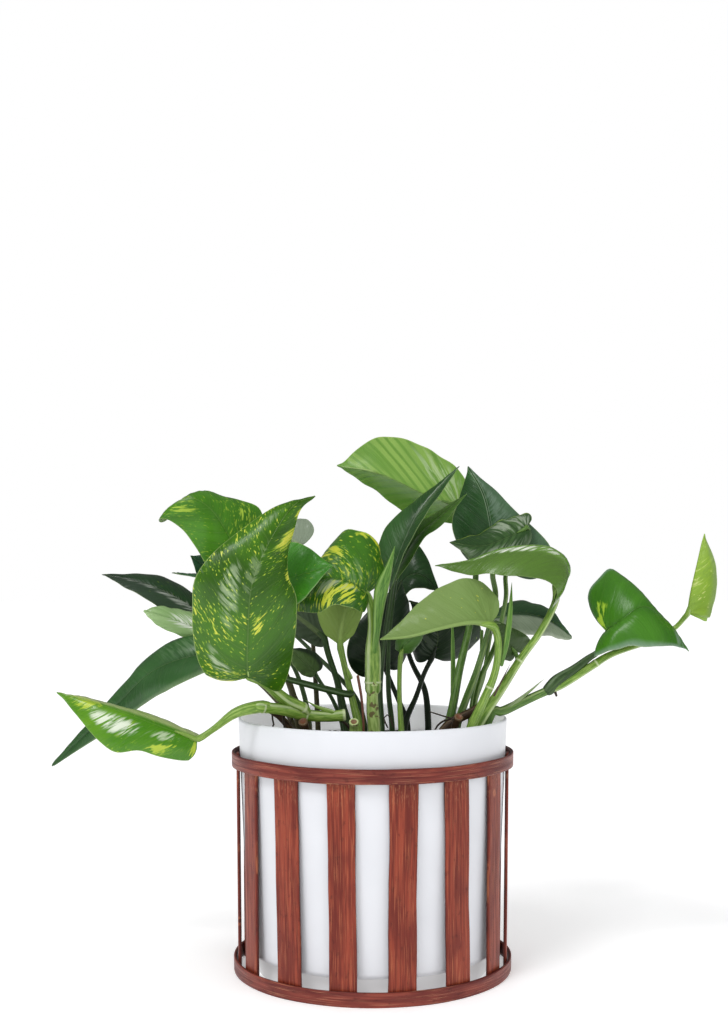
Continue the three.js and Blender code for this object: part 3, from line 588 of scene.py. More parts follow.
# ---- tubes: petioles, stems, spikes and rootlets ----
TUBE_STEP = 2.5  # mm along, between rings of points
TUBE_SIDES = 16
NODE_STEPS = (-1.6, -0.8, 0, 0.8, 1.6)  # mm along, rings of points about a node
NODE_REACH = 0.8  # mm along
NODE_SWELL = 0.09
NEARLY_ALONG = 0.05  # a tube that starts as close as that to its up takes OTHER_UP
OTHER_UP = (1, 0.3, 0)
GROOVE_REACH = 0.16  # half turns
GROOVE_EDGE = 0.3  # half turns from the groove's middle to its raised edges
EDGE_REACH = 0.1  # half turns
EDGE_RISE = 0.45  # of the groove's depth
# How far out the rings of a round end are and how wide, as shares of the radius, and what shows there.
ROUND_END = [(0, 1, 0), (0.38, 0.92, 0), (0.71, 0.71, 0), (0.92, 0.38, 0)]
# The same from the middle of a cut end: 1 is the pale rind and 2 the brown pith.
CUT_END = [(-0.25, 0.2, 2), (-0.1, 0.5, 2), (0.02, 0.66, 1.5), (0.1, 0.84, 1), (0.06, 1, 1), (-0.1, 1.08, 1)]


def tube(shape, points, radius, up=(0, 0, 1), finish=0, groove=0.0, rings=(), cut=False, sides=TUBE_SIDES):
    """A round-ended tube along the points. radius is a function of the share of its length, groove how deep
    the channel along its upper side is, and rings the shares where a node stands out. A cut tube starts with
    a flat, slightly hollow cut."""
    path = Path(points)
    count = max(4, int(path.length / TUBE_STEP))
    near_nodes = [at + step / path.length for at in rings for step in NODE_STEPS]
    shares = np.unique(np.clip(np.concatenate([np.linspace(0, 1, count + 1), near_nodes]), 0, 1))
    centres, ways = path.at(shares), path.tangent(shares)
    side = np.cross(ways[0], unit(np.array(up, float)))
    if np.linalg.norm(side) < NEARLY_ALONG:
        side = np.cross(ways[0], OTHER_UP)
    to_side = []
    for way in ways:
        side = unit(side - way * np.dot(side, way))
        to_side.append(side)
    turns = np.arange(sides) / sides * 2 - 1  # half turns from the groove
    edges = hump(abs(turns) - GROOVE_EDGE, EDGE_REACH)
    channel = 1 - groove * (hump(turns, GROOVE_REACH) - EDGE_RISE * edges)
    angles = turns * math.pi
    rows, stem = [], []

    def ring(i, ahead, wide, marked):
        above = np.cross(to_side[i], ways[i])
        out = np.outer(np.cos(angles), above) + np.outer(np.sin(angles), to_side[i])
        rows.append(centres[i] + ways[i] * ahead + out * (wide * channel)[:, None])
        gone = np.full(sides, shares[i] * path.length * MM)
        stem.append(np.stack([turns, gone, np.full(sides, marked)], -1))

    for out, wide, marked in CUT_END if cut else ROUND_END[::-1]:
        ring(0, -out * radius(0), wide * radius(0), marked)
    for i, share in enumerate(shares[1:-1], 1):
        node = max((hump((share - at) * path.length, NODE_REACH) for at in rings), default=0)
        ring(i, 0, radius(share) * (1 + NODE_SWELL * node), node)
    for out, wide, marked in ROUND_END:
        ring(-1, out * radius(1), wide * radius(1), marked)
    faces = grid_faces(len(rows), sides, closed=True, flip=True)
    faces.append(range(len(rows) * sides - 1, (len(rows) - 1) * sides - 1, -1))
    faces.append(range(sides))
    shape.add(np.concatenate(rows), faces, finish, stem=np.concatenate(stem))


# ---- leaves ----
BLADE_COLUMNS = [0, 0.02, 0.045, 0.085, 0.14, *(0.2 + 0.07 * i for i in range(11)), 0.955, 1]
BLADE_STEPS = 7  # rows of points between two rows of the outline
BLADE_MIDDLE = 0.5  # mm thick at the midrib
BLADE_MARGIN = 0.26
VEIN_COUNT = 13
VEIN_START = 0.03  # the share of the midrib from which the base's veins fan out
FAN = 0.25  # the share of all veins in that fan
FAN_ANGLE = 150  # degrees from the midrib's direction, at the first vein
FIRST_ANGLE = 60
LAST_ANGLE = 28
VEIN_BEND = 0.012  # per mm: how much a vein curves towards the tip
VEIN_SEARCH = 22  # halvings
QUILTING = 0.26  # mm, how far the blade rises between its veins
MIDRIB_DEEP = 0.28  # mm
MIDRIB_REACH = 0.8  # mm
MARGIN_WAVES = ((14.5, 3, 0.6), (32, 7, 0.36))  # how often along the leaf, how its seed shifts them, how high
RIB_HEIGHT = 0.75  # of the petiole's radius, under the base
RIB_WIDE = 0.5  # the same, and how much of that is left at the tip
RIB_TIP = 0.25


def vein_of(across, along, length):
    """The vein through each point, from 0 at the base to 1 at the tip, and how far along it the point is."""
    low, high = np.zeros_like(across), np.ones_like(across)
    for _ in range(VEIN_SEARCH):
        vein = (low + high) / 2
        fan = np.minimum(vein / FAN, 1)
        rest = np.clip((vein - FAN) / (1 - FAN), 0, 1)
        start = (VEIN_START * fan + (1 - VEIN_START) * rest) * length
        turned_by = (FIRST_ANGLE - FAN_ANGLE) * fan + (LAST_ANGLE - FIRST_ANGLE) * rest
        angle = np.radians(FAN_ANGLE + turned_by)
        reached = start + across / np.tan(angle) + VEIN_BEND * across**2
        low, high = np.where(reached < along, vein, low), np.where(reached < along, high, vein)
    return vein, across / np.sin(angle)


def rim_of(rows, columns):
    """The points on the edge of a grid, in order."""
    rim = list(range(columns - 1))
    rim += [row * columns + columns - 1 for row in range(rows - 1)]
    rim += [(rows - 1) * columns + column for column in range(columns - 1, 0, -1)]
    return rim + [row * columns for row in range(rows - 1, 0, -1)]


def blade(shape, leaf, seed):
    """A leaf blade: a thin closed sheet, quilted between its veins, with a midrib that stands out below."""
    path = Path(leaf.spine)
    start, along, across = through(BLADE_ROWS, BLADE_STEPS).T
    signed = np.array([-u for u in BLADE_COLUMNS[:0:-1]] + BLADE_COLUMNS)
    out = abs(signed)
    right = signed >= 0
    lobes = np.where(right, *leaf.lobes[::-1])
    blunt = np.where((along < WIDEST)[:, None], np.where(right, *leaf.base[::-1]), leaf.tip)
    width = np.maximum(across, LEAST_WIDTH)[:, None] ** blunt
    end = along[:, None] * np.where((along < 0)[:, None], lobes, 1)
    share = start[:, None] + (end - start[:, None]) * out

    def to_margin(margin, narrower):
        wide = narrow = np.array(margin) - path.at(WIDEST)
        if narrower is not None:
            narrow = (np.array(narrower) - path.at(NARROWING)) / NARROW_WIDTH**leaf.tip
        part = smoothstep(WIDEST, NARROWING, share)[..., None]
        return wide * (1 - part) + narrow * part

    to_left, to_right = to_margin(leaf.left, leaf.left2), to_margin(leaf.right, leaf.right2)
    own = np.where(right[None, :, None], to_right, to_left)
    outward = np.where(right[None, :, None], to_right, -to_left)
    outward = np.where((out == 0)[None, :, None], to_right - to_left, outward)
    facing = unit(np.cross(outward, path.tangent(share)))
    spread = width * out
    sheet = path.at(share) + own * spread[..., None]
    sheet += facing * (leaf.bulge * 4 * spread * (1 - out))[..., None]

    distance = np.linalg.norm(own, axis=-1) * spread  # from the midrib, in mm
    length = path.length
    vein, on_vein = vein_of(distance, share * length, length)
    inside = smoothstep(0.04, 0.2, out) * (1 - smoothstep(0.84, 1, out))  # not at the midrib or the margin
    rise = QUILTING * inside * (0.5 - 0.5 * np.cos(2 * math.pi * VEIN_COUNT * vein)) * (distance > 0)
    rise -= MIDRIB_DEEP * hump(distance, MIDRIB_REACH) * (1 - smoothstep(0.85, 1, share))
    side_seed = np.where(signed < 0, 0, 2.1) + seed
    waves = sum(high * np.sin(often * share + side_seed * part) for often, part, high in MARGIN_WAVES)
    rise += leaf.wave * waves * out**2.2 * smoothstep(0, 0.1, width)
    sheet += facing * rise[..., None]
    if leaf.sag:
        middle, reach, deep = leaf.sag
        sheet[..., 2] -= deep * hump(share - middle, reach) * out**2 * right

    normal = unit(np.cross(np.gradient(sheet, axis=1), np.gradient(sheet, axis=0)))
    thick = BLADE_MIDDLE + (BLADE_MARGIN - BLADE_MIDDLE) * out
    ahead = 1 - np.clip(share, 0, 1)
    rib_wide = RIB_WIDE * leaf.r * (RIB_TIP + (1 - RIB_TIP) * ahead)
    rib = RIB_HEIGHT * leaf.r * ahead**0.8 * hump(distance, rib_wide)
    upper = sheet + normal * (thick / 2)[None, :, None]
    lower = sheet - normal * (thick[None, :] / 2 + rib)[..., None]

    rows, columns = share.shape
    count = rows * columns
    faces = grid_faces(rows, columns) + grid_faces(rows, columns, first=count, flip=True)
    rim = rim_of(rows, columns)
    edges = list(zip(rim, rim[1:] + rim[:1]))
    faces += [[a, count + a, count + b, b] for a, b in edges]
    sharp = [(first + a, first + b) for first in (0, count) for a, b in edges]
    marks = np.stack([np.broadcast_to(signed, share.shape), share, np.zeros_like(share)], -1).reshape(-1, 3)
    veins = np.stack([vein * length * MM, np.sign(signed) * on_vein * MM, distance * MM], -1).reshape(-1, 3)
    points = np.concatenate([upper.reshape(-1, 3), lower.reshape(-1, 3)])
    marks = np.concatenate([marks, marks + (0, 0, 1)])  # the last number is 1 on the underside
    shape.add(points, faces, 0, sharp, blade=marks, vein=np.tile(veins, (2, 1)))
    return path, normal[2, len(BLADE_COLUMNS) - 1]


# Where the petiole starts under the midrib: the share of the midrib, and how deep as a share of the drop.
UNDER_MIDRIB = ((0.16, 0.25), (0.06, 0.45), (0, 0.6))
PETIOLE_START = 0.3  # of its radius
PETIOLE_FREE = 0.9  # the same, past the blade
PETIOLE_GROOVE = 0.3
NECK_SWELL = 0.16
NECK_REACH = 4  # mm


def petiole(shape, leaf, path, facing):
    """The leaf's stalk, from under the midrib down to the soil or to the stem that carries it."""
    deep = leaf.drop * leaf.r
    under_blade = [path.at(share) - facing * deep * part for share, part in UNDER_MIDRIB]
    foot_x, foot_y, _ = leaf.petiole[-1]
    points = under_blade + leaf.petiole + [leaf.joins or [foot_x, foot_y, SOIL_Z - ROOT_DEPTH]]
    line = Path(points)
    at_blade = UNDER_MIDRIB[0][0] * path.length / line.length

    def radius(share):
        part = PETIOLE_START + (PETIOLE_FREE - PETIOLE_START) * min(1, share / at_blade)
        part += NECK_SWELL * hump((share - at_blade) * line.length, NECK_REACH)
        part += (leaf.thick - PETIOLE_FREE) * smoothstep(*leaf.sheath, share)
        return leaf.r * leaf.stout * part

    tube(shape, points, radius, up=facing, finish=1, groove=PETIOLE_GROOVE, rings=leaf.rings)


def build_leaves(finishes):
    for seed, (name, leaf) in enumerate(LEAVES.items()):
        shape = Shape()
        petiole(shape, leaf, *blade(shape, leaf, seed))
        materials = [leaf_material(name, leaf, seed), finishes[leaf.stem]]
        shape.build(f"{name}_grown", materials, "leaf", name)


# ---- stems and spikes ----
def build_stems(finishes):
    for name, stem in STEMS.items():
        shape = Shape()
        r, points = stem["r"], stem["path"]
        if "rooted" in stem:
            foot_x, foot_y, _ = points[-1]
            points = points + [[foot_x, foot_y, SOIL_Z - ROOT_DEPTH]]
        uneven = lambda share: r * (1.02 - 0.06 * math.sin(9 * share))
        tube(shape, points, uneven, groove=0.06, rings=stem.get("rings", ()), cut="cut" in stem)
        if "foot" in stem:
            tube(shape, stem["foot"], lambda share: 0.9 - 0.4 * share, finish=1)
        slot = "old_stem" if name.startswith("old") else "stem"
        shape.build(f"{name}_grown", [finishes[stem["finish"]], finishes["root"]], slot, name)


def build_spikes(finishes):
    for name, (points, widths) in SPIKES.items():
        shape = Shape()
        wide = lambda share: float(np.interp(share, *zip(*widths)))
        tube(shape, points, wide, up=(0.3, -1, 0.1), groove=0.22, sides=24)
        shape.build(f"{name}_grown", [finishes["spike"]], "stem", name)


def build_small_parts(finishes):
    """Buds, dry sheaths, cut ends and rootlets: the small things between the stems."""
    for name, (finish, r, points) in SMALL_PARTS.items():
        shape = Shape()
        pointed = name.startswith(("sheath", "bud"))
        taper = lambda share: r * (1.03 - share**1.3 if pointed else 1 - 0.3 * share)
        groove = PETIOLE_GROOVE if pointed else 0
        tube(shape, points, taper, groove=groove, cut=name.startswith("cut"), sides=12)
        shape.build(name, [finishes[finish]], "old_stem" if finish in ("old", "root") else "stem")


# ---- pot and soil ----
FOOT_FILLET = 2  # between the foot and the pot's bottom, inside
BOTTOM_EDGE = 4  # the radius of the wall's lower edge
FLOOR_FILLET = 3
POT_AROUND = 160
SOIL_GAP = 0.25  # to the pot's wall
SOIL_LUMPS = ((1.5, 17, 0, 3), (0.9, 6, 5, 8), (0.5, 2.6, 9, 5))  # height, size, and two seeds
SOIL_RINGS = 46
SOIL_AROUND = 150
CRUMB_COUNT = 520
CRUMB_SIZE = (0.5, 1.7)
BARK_COUNT = 60
BARK_SIZE = (1.6, 3.2)
CLEAR_OF_WALL = 2.5  # where crumbs and bark lie
LUMP_ROWS = 4
LUMP_AROUND = 7


def turned(shape, profile, around):
    """A closed profile of (radius, z) turned about Z. Points on the axis become one point."""
    ring = np.stack([np.cos(circle(around)), np.sin(circle(around))], -1)
    points, rows, faces = [], [], []
    for r, z in profile:
        on_axis = r < 1e-6
        rows.append([len(points) + (0 if on_axis else i) for i in range(around)])
        points.extend([(0, 0, z)] if on_axis else [(x * r, y * r, z) for x, y in ring])
    for low, high in zip(rows, rows[1:]):
        for i in range(around):
            j = (i + 1) % around
            corners = [low[i], low[j], high[j], high[i]]
            kept = [corner for k, corner in enumerate(corners) if corner != corners[k - 1]]
            if len(kept) > 2:
                faces.append(kept)
    shape.add(points, faces)


def arc(centre_r, centre_z, radius, start, end, steps):
    """Profile points on a round corner, between two angles in degrees."""
    angles = np.radians(np.linspace(start, end, steps))
    return [(centre_r + radius * math.cos(a), centre_z + radius * math.sin(a)) for a in angles]


def pot_outer(z):
    return POT_BOTTOM_R + (POT_RIM_R - POT_BOTTOM_R) * (z - POT_BOTTOM_Z) / (POT_RIM_Z - POT_BOTTOM_Z)


def pot_inner(z):
    return pot_outer(z) - POT_WALL


def build_pot():
    """The pot: a tapered wall with a rounded rim and lower edge, on a foot that is set back under it."""
    floor_z = POT_BOTTOM_Z + POT_FLOOR
    lip = POT_WALL / 2
    toe = FOOT_THICK / 2
    under_r = FOOT_R - FOOT_THICK - FOOT_FILLET
    profile = [(0, POT_BOTTOM_Z), (under_r, POT_BOTTOM_Z)]
    profile += arc(under_r, POT_BOTTOM_Z - FOOT_FILLET, FOOT_FILLET, 80, 0, 4)
    profile += arc(FOOT_R - toe, toe, toe, 180, 360, 9)
    profile += [(FOOT_R, POT_BOTTOM_Z - 1)] + arc(FOOT_R + 0.8, POT_BOTTOM_Z - 0.8, 0.8, 170, 90, 4)
    profile += arc(POT_BOTTOM_R - BOTTOM_EDGE + 0.3, POT_BOTTOM_Z + BOTTOM_EDGE, BOTTOM_EDGE, 278, 358, 7)
    profile += [(pot_outer(z), z) for z in np.linspace(POT_BOTTOM_Z + 2 * BOTTOM_EDGE, POT_RIM_Z - 4, 10)]
    profile += arc(POT_RIM_R - lip, POT_RIM_Z - lip, lip, 0, 180, 9)
    profile += [(pot_inner(z), z) for z in np.linspace(POT_RIM_Z - 4, floor_z + FLOOR_FILLET, 10)]
    profile += arc(pot_inner(floor_z) - FLOOR_FILLET, floor_z + FLOOR_FILLET, FLOOR_FILLET, 0, -90, 5)
    shape = Shape()
    turned(shape, profile + [(0, floor_z)], POT_AROUND)
    shape.build("pot_moulded", [pot_material()], "pot", "pot")


def soil_height(x, y):
    """The height of the soil's surface, in mm: a low crown with lumps."""
    lumps = sum(high * wavy((x, y, layer), size, seed) for high, size, layer, seed in SOIL_LUMPS)
    return SOIL_Z - 0.6 - 1.2 * (math.hypot(x, y) / POT_RIM_R) ** 2 + lumps


def crumb(rng, place, size, stretch):
    """The points of a ball that is knocked out of round."""
    points = [(0, 0, 1)]
    for i in range(1, LUMP_ROWS):
        a = math.pi * i / LUMP_ROWS
        r = math.sin(a)
        points += [(r * math.cos(b), r * math.sin(b), math.cos(a)) for b in circle(LUMP_AROUND)]
    points.append((0, 0, -1))
    turn = Vector([rng.uniform(-1, 1) for _ in range(3)]).to_track_quat("Z", "Y")
    knocked = [Vector(a * b for a, b in zip(p, stretch)) * size * rng.uniform(0.8, 1.2) for p in points]
    return [turn @ p + Vector(place) for p in knocked]


def build_soil():
    """The soil: a lumpy disc with loose crumbs and bits of bark on it."""
    rng = random.Random(11)
    edge = pot_inner(SOIL_Z) - SOIL_GAP
    bottom = POT_BOTTOM_Z + POT_FLOOR + GAP
    low_edge = pot_inner(bottom) - FLOOR_FILLET
    points = [(0, 0, soil_height(0, 0))]
    for r in edge * (np.arange(1, SOIL_RINGS + 1) / SOIL_RINGS):
        ring = [(r * math.cos(a), r * math.sin(a)) for a in circle(SOIL_AROUND)]
        points += [(x, y, soil_height(x, y)) for x, y in ring]
    points += [(low_edge * math.cos(a), low_edge * math.sin(a), bottom) for a in circle(SOIL_AROUND)]
    points.append((0, 0, bottom))
    shape = Shape()
    shape.add(points, lump_faces(SOIL_RINGS + 1, SOIL_AROUND))
    for i in range(CRUMB_COUNT + BARK_COUNT):
        bark = i >= CRUMB_COUNT
        size = rng.uniform(*(BARK_SIZE if bark else CRUMB_SIZE))
        r = (edge - CLEAR_OF_WALL - size) * math.sqrt(rng.random())
        a = rng.uniform(0, 2 * math.pi)
        x, y = r * math.cos(a), r * math.sin(a)
        stretch = (1, rng.uniform(0.35, 0.6), rng.uniform(0.16, 0.3)) if bark else (1, 1, 1)
        place = (x, y, soil_height(x, y) + (0.3 if bark else 0.25 * size))
        shape.add(crumb(rng, place, size, stretch), lump_faces(LUMP_ROWS - 1, LUMP_AROUND), int(bark))
    shape.build("soil_crumbly", [soil_material(), bark_material()], "soil", "soil")


# ---- holder ----
HOOP_STEPS = 180
HOOP_LAP = 97  # degrees: where the ends of a hoop lap, at the back
LAP_STEP = 0.35  # mm in, over a reach of mm along
LAP_REACH = 0.9
HOOP_INSET = 0.08  # mm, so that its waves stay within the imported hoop
HOOP_TRIM = 0.1
SLAT_STEPS = 46
SLAT_SHORTER = 1  # mm, so that no slat shows above the top hoop
SLAT_INSET = 0.02
SLAT_TRIM = 0.05


def strip(shape, path_at, section, count, closed=False, seed=0.0):
    """A strip of bamboo: a section swept through count places. path_at gives the origin, the directions
    outward and across, half the section's width and how far the place is along the strip."""
    rows, grain = [], []
    for i in range(count):
        origin, outward, across, wide, run = path_at(i)
        rows += [origin + outward * out + across * part * wide for out, part, _ in section]
        grain += [(part * wide * MM + seed, run * MM + 7.3 * seed, inner_stain_and_shade) for _, part, inner_stain_and_shade in section]
    columns = len(section)
    last = (count - 1) * columns
    faces = grid_faces(count, columns, closed=True)
    if closed:
        faces += [[last + c, last + (c + 1) % columns, (c + 1) % columns, c] for c in range(columns)]
    else:
        faces += [range(columns - 1, -1, -1), range(last, last + columns)]
    shape.add(rows, faces, grain=grain)


def strip_section(thick, round_edge, bow=0.0):
    """A rounded flat section as (outward, share of half the width, how far onto the back, which darkens it
    with stain and painted shade); its outer face is at 0.
    """
    face = [(-bow * u * u, u, 0) for u in np.linspace(-0.9, 0.9, 5)]
    back = [(-thick, u, 1) for u in np.linspace(0.5, -0.5, 3)]
    outer_edge = [(-round_edge * 0.3 - bow, 0.975, 0.1), (-round_edge - bow, 1, 0.5)]
    edge = outer_edge + [(-thick + round_edge, 1, 0.8), (-thick, 0.95, 1)]
    return face + edge + back + [(out, -part, inner_stain_and_shade) for out, part, inner_stain_and_shade in reversed(edge)]


def build_hoop(name, z, seed):
    """A strip bent into a ring, whose ends lap at the back. The bottom hoop lies flat on the floor."""
    lying = z == 0

    def at(i):
        a = 2 * math.pi * i / HOOP_STEPS
        out = np.array([math.cos(a), math.sin(a), 0])
        from_lap = ((a - math.radians(HOOP_LAP) + math.pi) % (2 * math.pi)) - math.pi
        step = LAP_STEP * hump(from_lap * HOOP_R, LAP_REACH)
        sway = 0 if lying else 0.12 * math.sin(3 * a + seed) + 0.06 * math.sin(7 * a + 2 * seed)
        r = HOOP_R - HOOP_INSET - step + 0.05 * math.sin(5 * a + seed)
        half = HOOP_HEIGHT / 2 - (0 if lying else HOOP_TRIM) + 0.06 * math.sin(11 * a + seed)
        origin = out * r + np.array([0, 0, z + HOOP_HEIGHT / 2 + sway])
        return origin, out, np.array([0, 0, 1]), half, a * HOOP_R

    shape = Shape()
    strip(shape, at, strip_section(HOOP_THICK, 0.35), HOOP_STEPS, closed=True, seed=seed)
    material = bamboo_material(f"{name}_bamboo", "#5e1f1c", "#904234", "#cc8a68", 0.9)
    shape.build(f"{name}_bent", [material], "bamboo", name)


def build_slats():
    """Split and planed strips: each has its own width, a slight waist, and edges that wander a little."""
    clear_inside = (HOOP_R - HOOP_THICK) * math.cos(math.pi / HOOP_SIDES) - GAP
    face_r = math.sqrt(clear_inside**2 - (max(SLAT_WIDTHS) / 2 + 1) ** 2)
    length = HOLDER_HEIGHT - 2 * GAP - SLAT_SHORTER
    material = bamboo_material("slat_bamboo", "#6a2319", "#9a422c", "#cf7d54", 1)
    for index in range(SLAT_COUNT):
        turn = (index + 0.5) * 2 * math.pi / SLAT_COUNT - math.pi / 2
        out = np.array([math.cos(turn), math.sin(turn), 0])
        side = np.array([-math.sin(turn), math.cos(turn), 0])
        lean = math.radians(SLAT_LEANS[index % len(SLAT_LEANS)])
        half = SLAT_WIDTHS[index % len(SLAT_WIDTHS)] / 2

        def at(i):
            z = length * i / (SLAT_STEPS - 1)
            off = (z - length / 2) * math.tan(lean) + 0.4 * wavy((z, index * 9, 7), 40)
            waist = 0.35 * math.sin(math.pi * z / length) + 0.25 * wavy((z, index * 9, 0), 24)
            waist += 0.08 * wavy((z, index * 9, 3), 6)
            origin = out * (face_r - SLAT_INSET) + side * off + np.array([0, 0, z + GAP])
            return origin, out, side, half - max(waist, -0.1) - SLAT_TRIM, z

        shape = Shape()
        strip(shape, at, strip_section(SLAT_THICK, 0.4, bow=0.16), SLAT_STEPS, seed=1 + index * 0.37)
        name = f"slat_{index + 1:02d}"
        shape.build(f"{name}_planed", [material], "bamboo", name)


def build_holder():
    build_hoop("hoop_bottom", 0, 1.3)
    build_hoop("hoop_top", HOLDER_HEIGHT - HOOP_HEIGHT, 2.9)
    build_slats()


# ---- materials ----
def rgb(code):
    """A #rrggbb colour as the linear colour that shaders take."""
    parts = [int(code[i : i + 2], 16) / 255 for i in (1, 3, 5)]
    return [p / 12.92 if p <= 0.04045 else ((p + 0.055) / 1.055) ** 2.4 for p in parts] + [1]


def blend(part, a, b):
    return [(1 - part) * x + part * y for x, y in zip(a, b)]


class Value:
    """What a node gives out, with the arithmetic that adds a node for its result."""

    def __init__(self, finish, socket):
        self.finish = finish
        self.socket = socket

    def __add__(self, other):
        return self.finish.math("ADD", self, other)

    def __sub__(self, other):
        return self.finish.math("SUBTRACT", self, other)

    def __rsub__(self, other):
        return self.finish.math("SUBTRACT", other, self)

    def __mul__(self, other):
        return self.finish.math("MULTIPLY", self, other)

    def __abs__(self):
        return self.finish.math("ABSOLUTE", self)


class Finish:
    """A material, and short ways to add what its colour, roughness and bump are made of."""

    def __init__(self, name, **numbers):
        self.material = bpy.data.materials.new(name)
        self.material.use_nodes = True
        self.nodes = self.material.node_tree.nodes
        self.tone = None  # the colour so far
        for socket, value in numbers.items():
            self.put(self.shader_input(socket.replace("_", " ")), value)

    def shader_input(self, socket):
        return self.nodes["Principled BSDF"].inputs[socket]

    def put(self, target, value):
        if isinstance(value, Value):
            self.material.node_tree.links.new(value.socket, target)
        else:
            target.default_value = value

    def node(self, kind, output, inputs, **settings):
        """A node with those inputs, by their place or name, and the value that it gives out."""
        made = self.nodes.new(f"ShaderNode{kind}")
        for key, value in settings.items():
            setattr(made, key, value)
        for socket, value in inputs.items():
            self.put(made.inputs[socket], value)
        return Value(self, made.outputs[output])

    def read(self, name):
        return self.node("Attribute", "Vector", {}, attribute_name=name)

    def place(self):
        return self.node("TexCoord", "Object", {})

    def stretched(self, vector, by, shift):
        return self.node("VectorMath", 0, {0: vector, 1: by, 2: shift}, operation="MULTIPLY_ADD")

    def split(self, vector):
        return [self.node("SeparateXYZ", axis, {0: vector}) for axis in "XYZ"]

    def math(self, operation, a, b=0.0):
        return self.node("Math", 0, {0: a, 1: b}, operation=operation)

    def noise(self, vector, scale, detail=2.0, rough=0.5, warp=0.0, stretch=None, shift=(0, 0, 0)):
        if stretch:
            vector = self.stretched(vector, stretch, shift)
        kind = {"Scale": scale, "Detail": detail, "Roughness": rough, "Distortion": warp}
        return self.node("TexNoise", 0, {"Vector": vector, **kind})

    def step(self, value, low, high, start=0.0, end=1.0):
        """start below low and end above high, with a soft change between them."""
        inputs = dict(enumerate((value, low, high, start, end)))
        return self.node("MapRange", 0, inputs, interpolation_type="SMOOTHSTEP")

    def mix(self, part, a, b):
        return self.node("Mix", 2, {0: part, 6: a, 7: b}, data_type="RGBA")

    def between(self, dark, light, value, low, high, *ends):
        """Start the tone, from the first colour at the step's start to the second one at its end."""
        self.tone = self.mix(self.step(value, low, high, *ends), rgb(dark), rgb(light))

    def paint(self, colour, value, *step):
        """Lay a colour over the tone so far, by a share or by a value and the step that makes it one."""
        part = self.step(value, *step) if step else value
        self.tone = self.mix(part, self.tone, rgb(colour) if isinstance(colour, str) else colour)

    def done(self, rough, relief, strength, deep):
        """The material, with its colour, its roughness and a relief that is deep in mm."""
        self.put(self.shader_input("Base Color"), self.tone)
        self.put(self.shader_input("Roughness"), rough)
        inputs = {"Height": relief, "Strength": strength, "Distance": deep * MM}
        self.put(self.shader_input("Normal"), self.node("Bump", 0, inputs))
        return self.material


VEIN_LINE = 0.055  # how wide a side vein's line is, as a share of the way to the next one


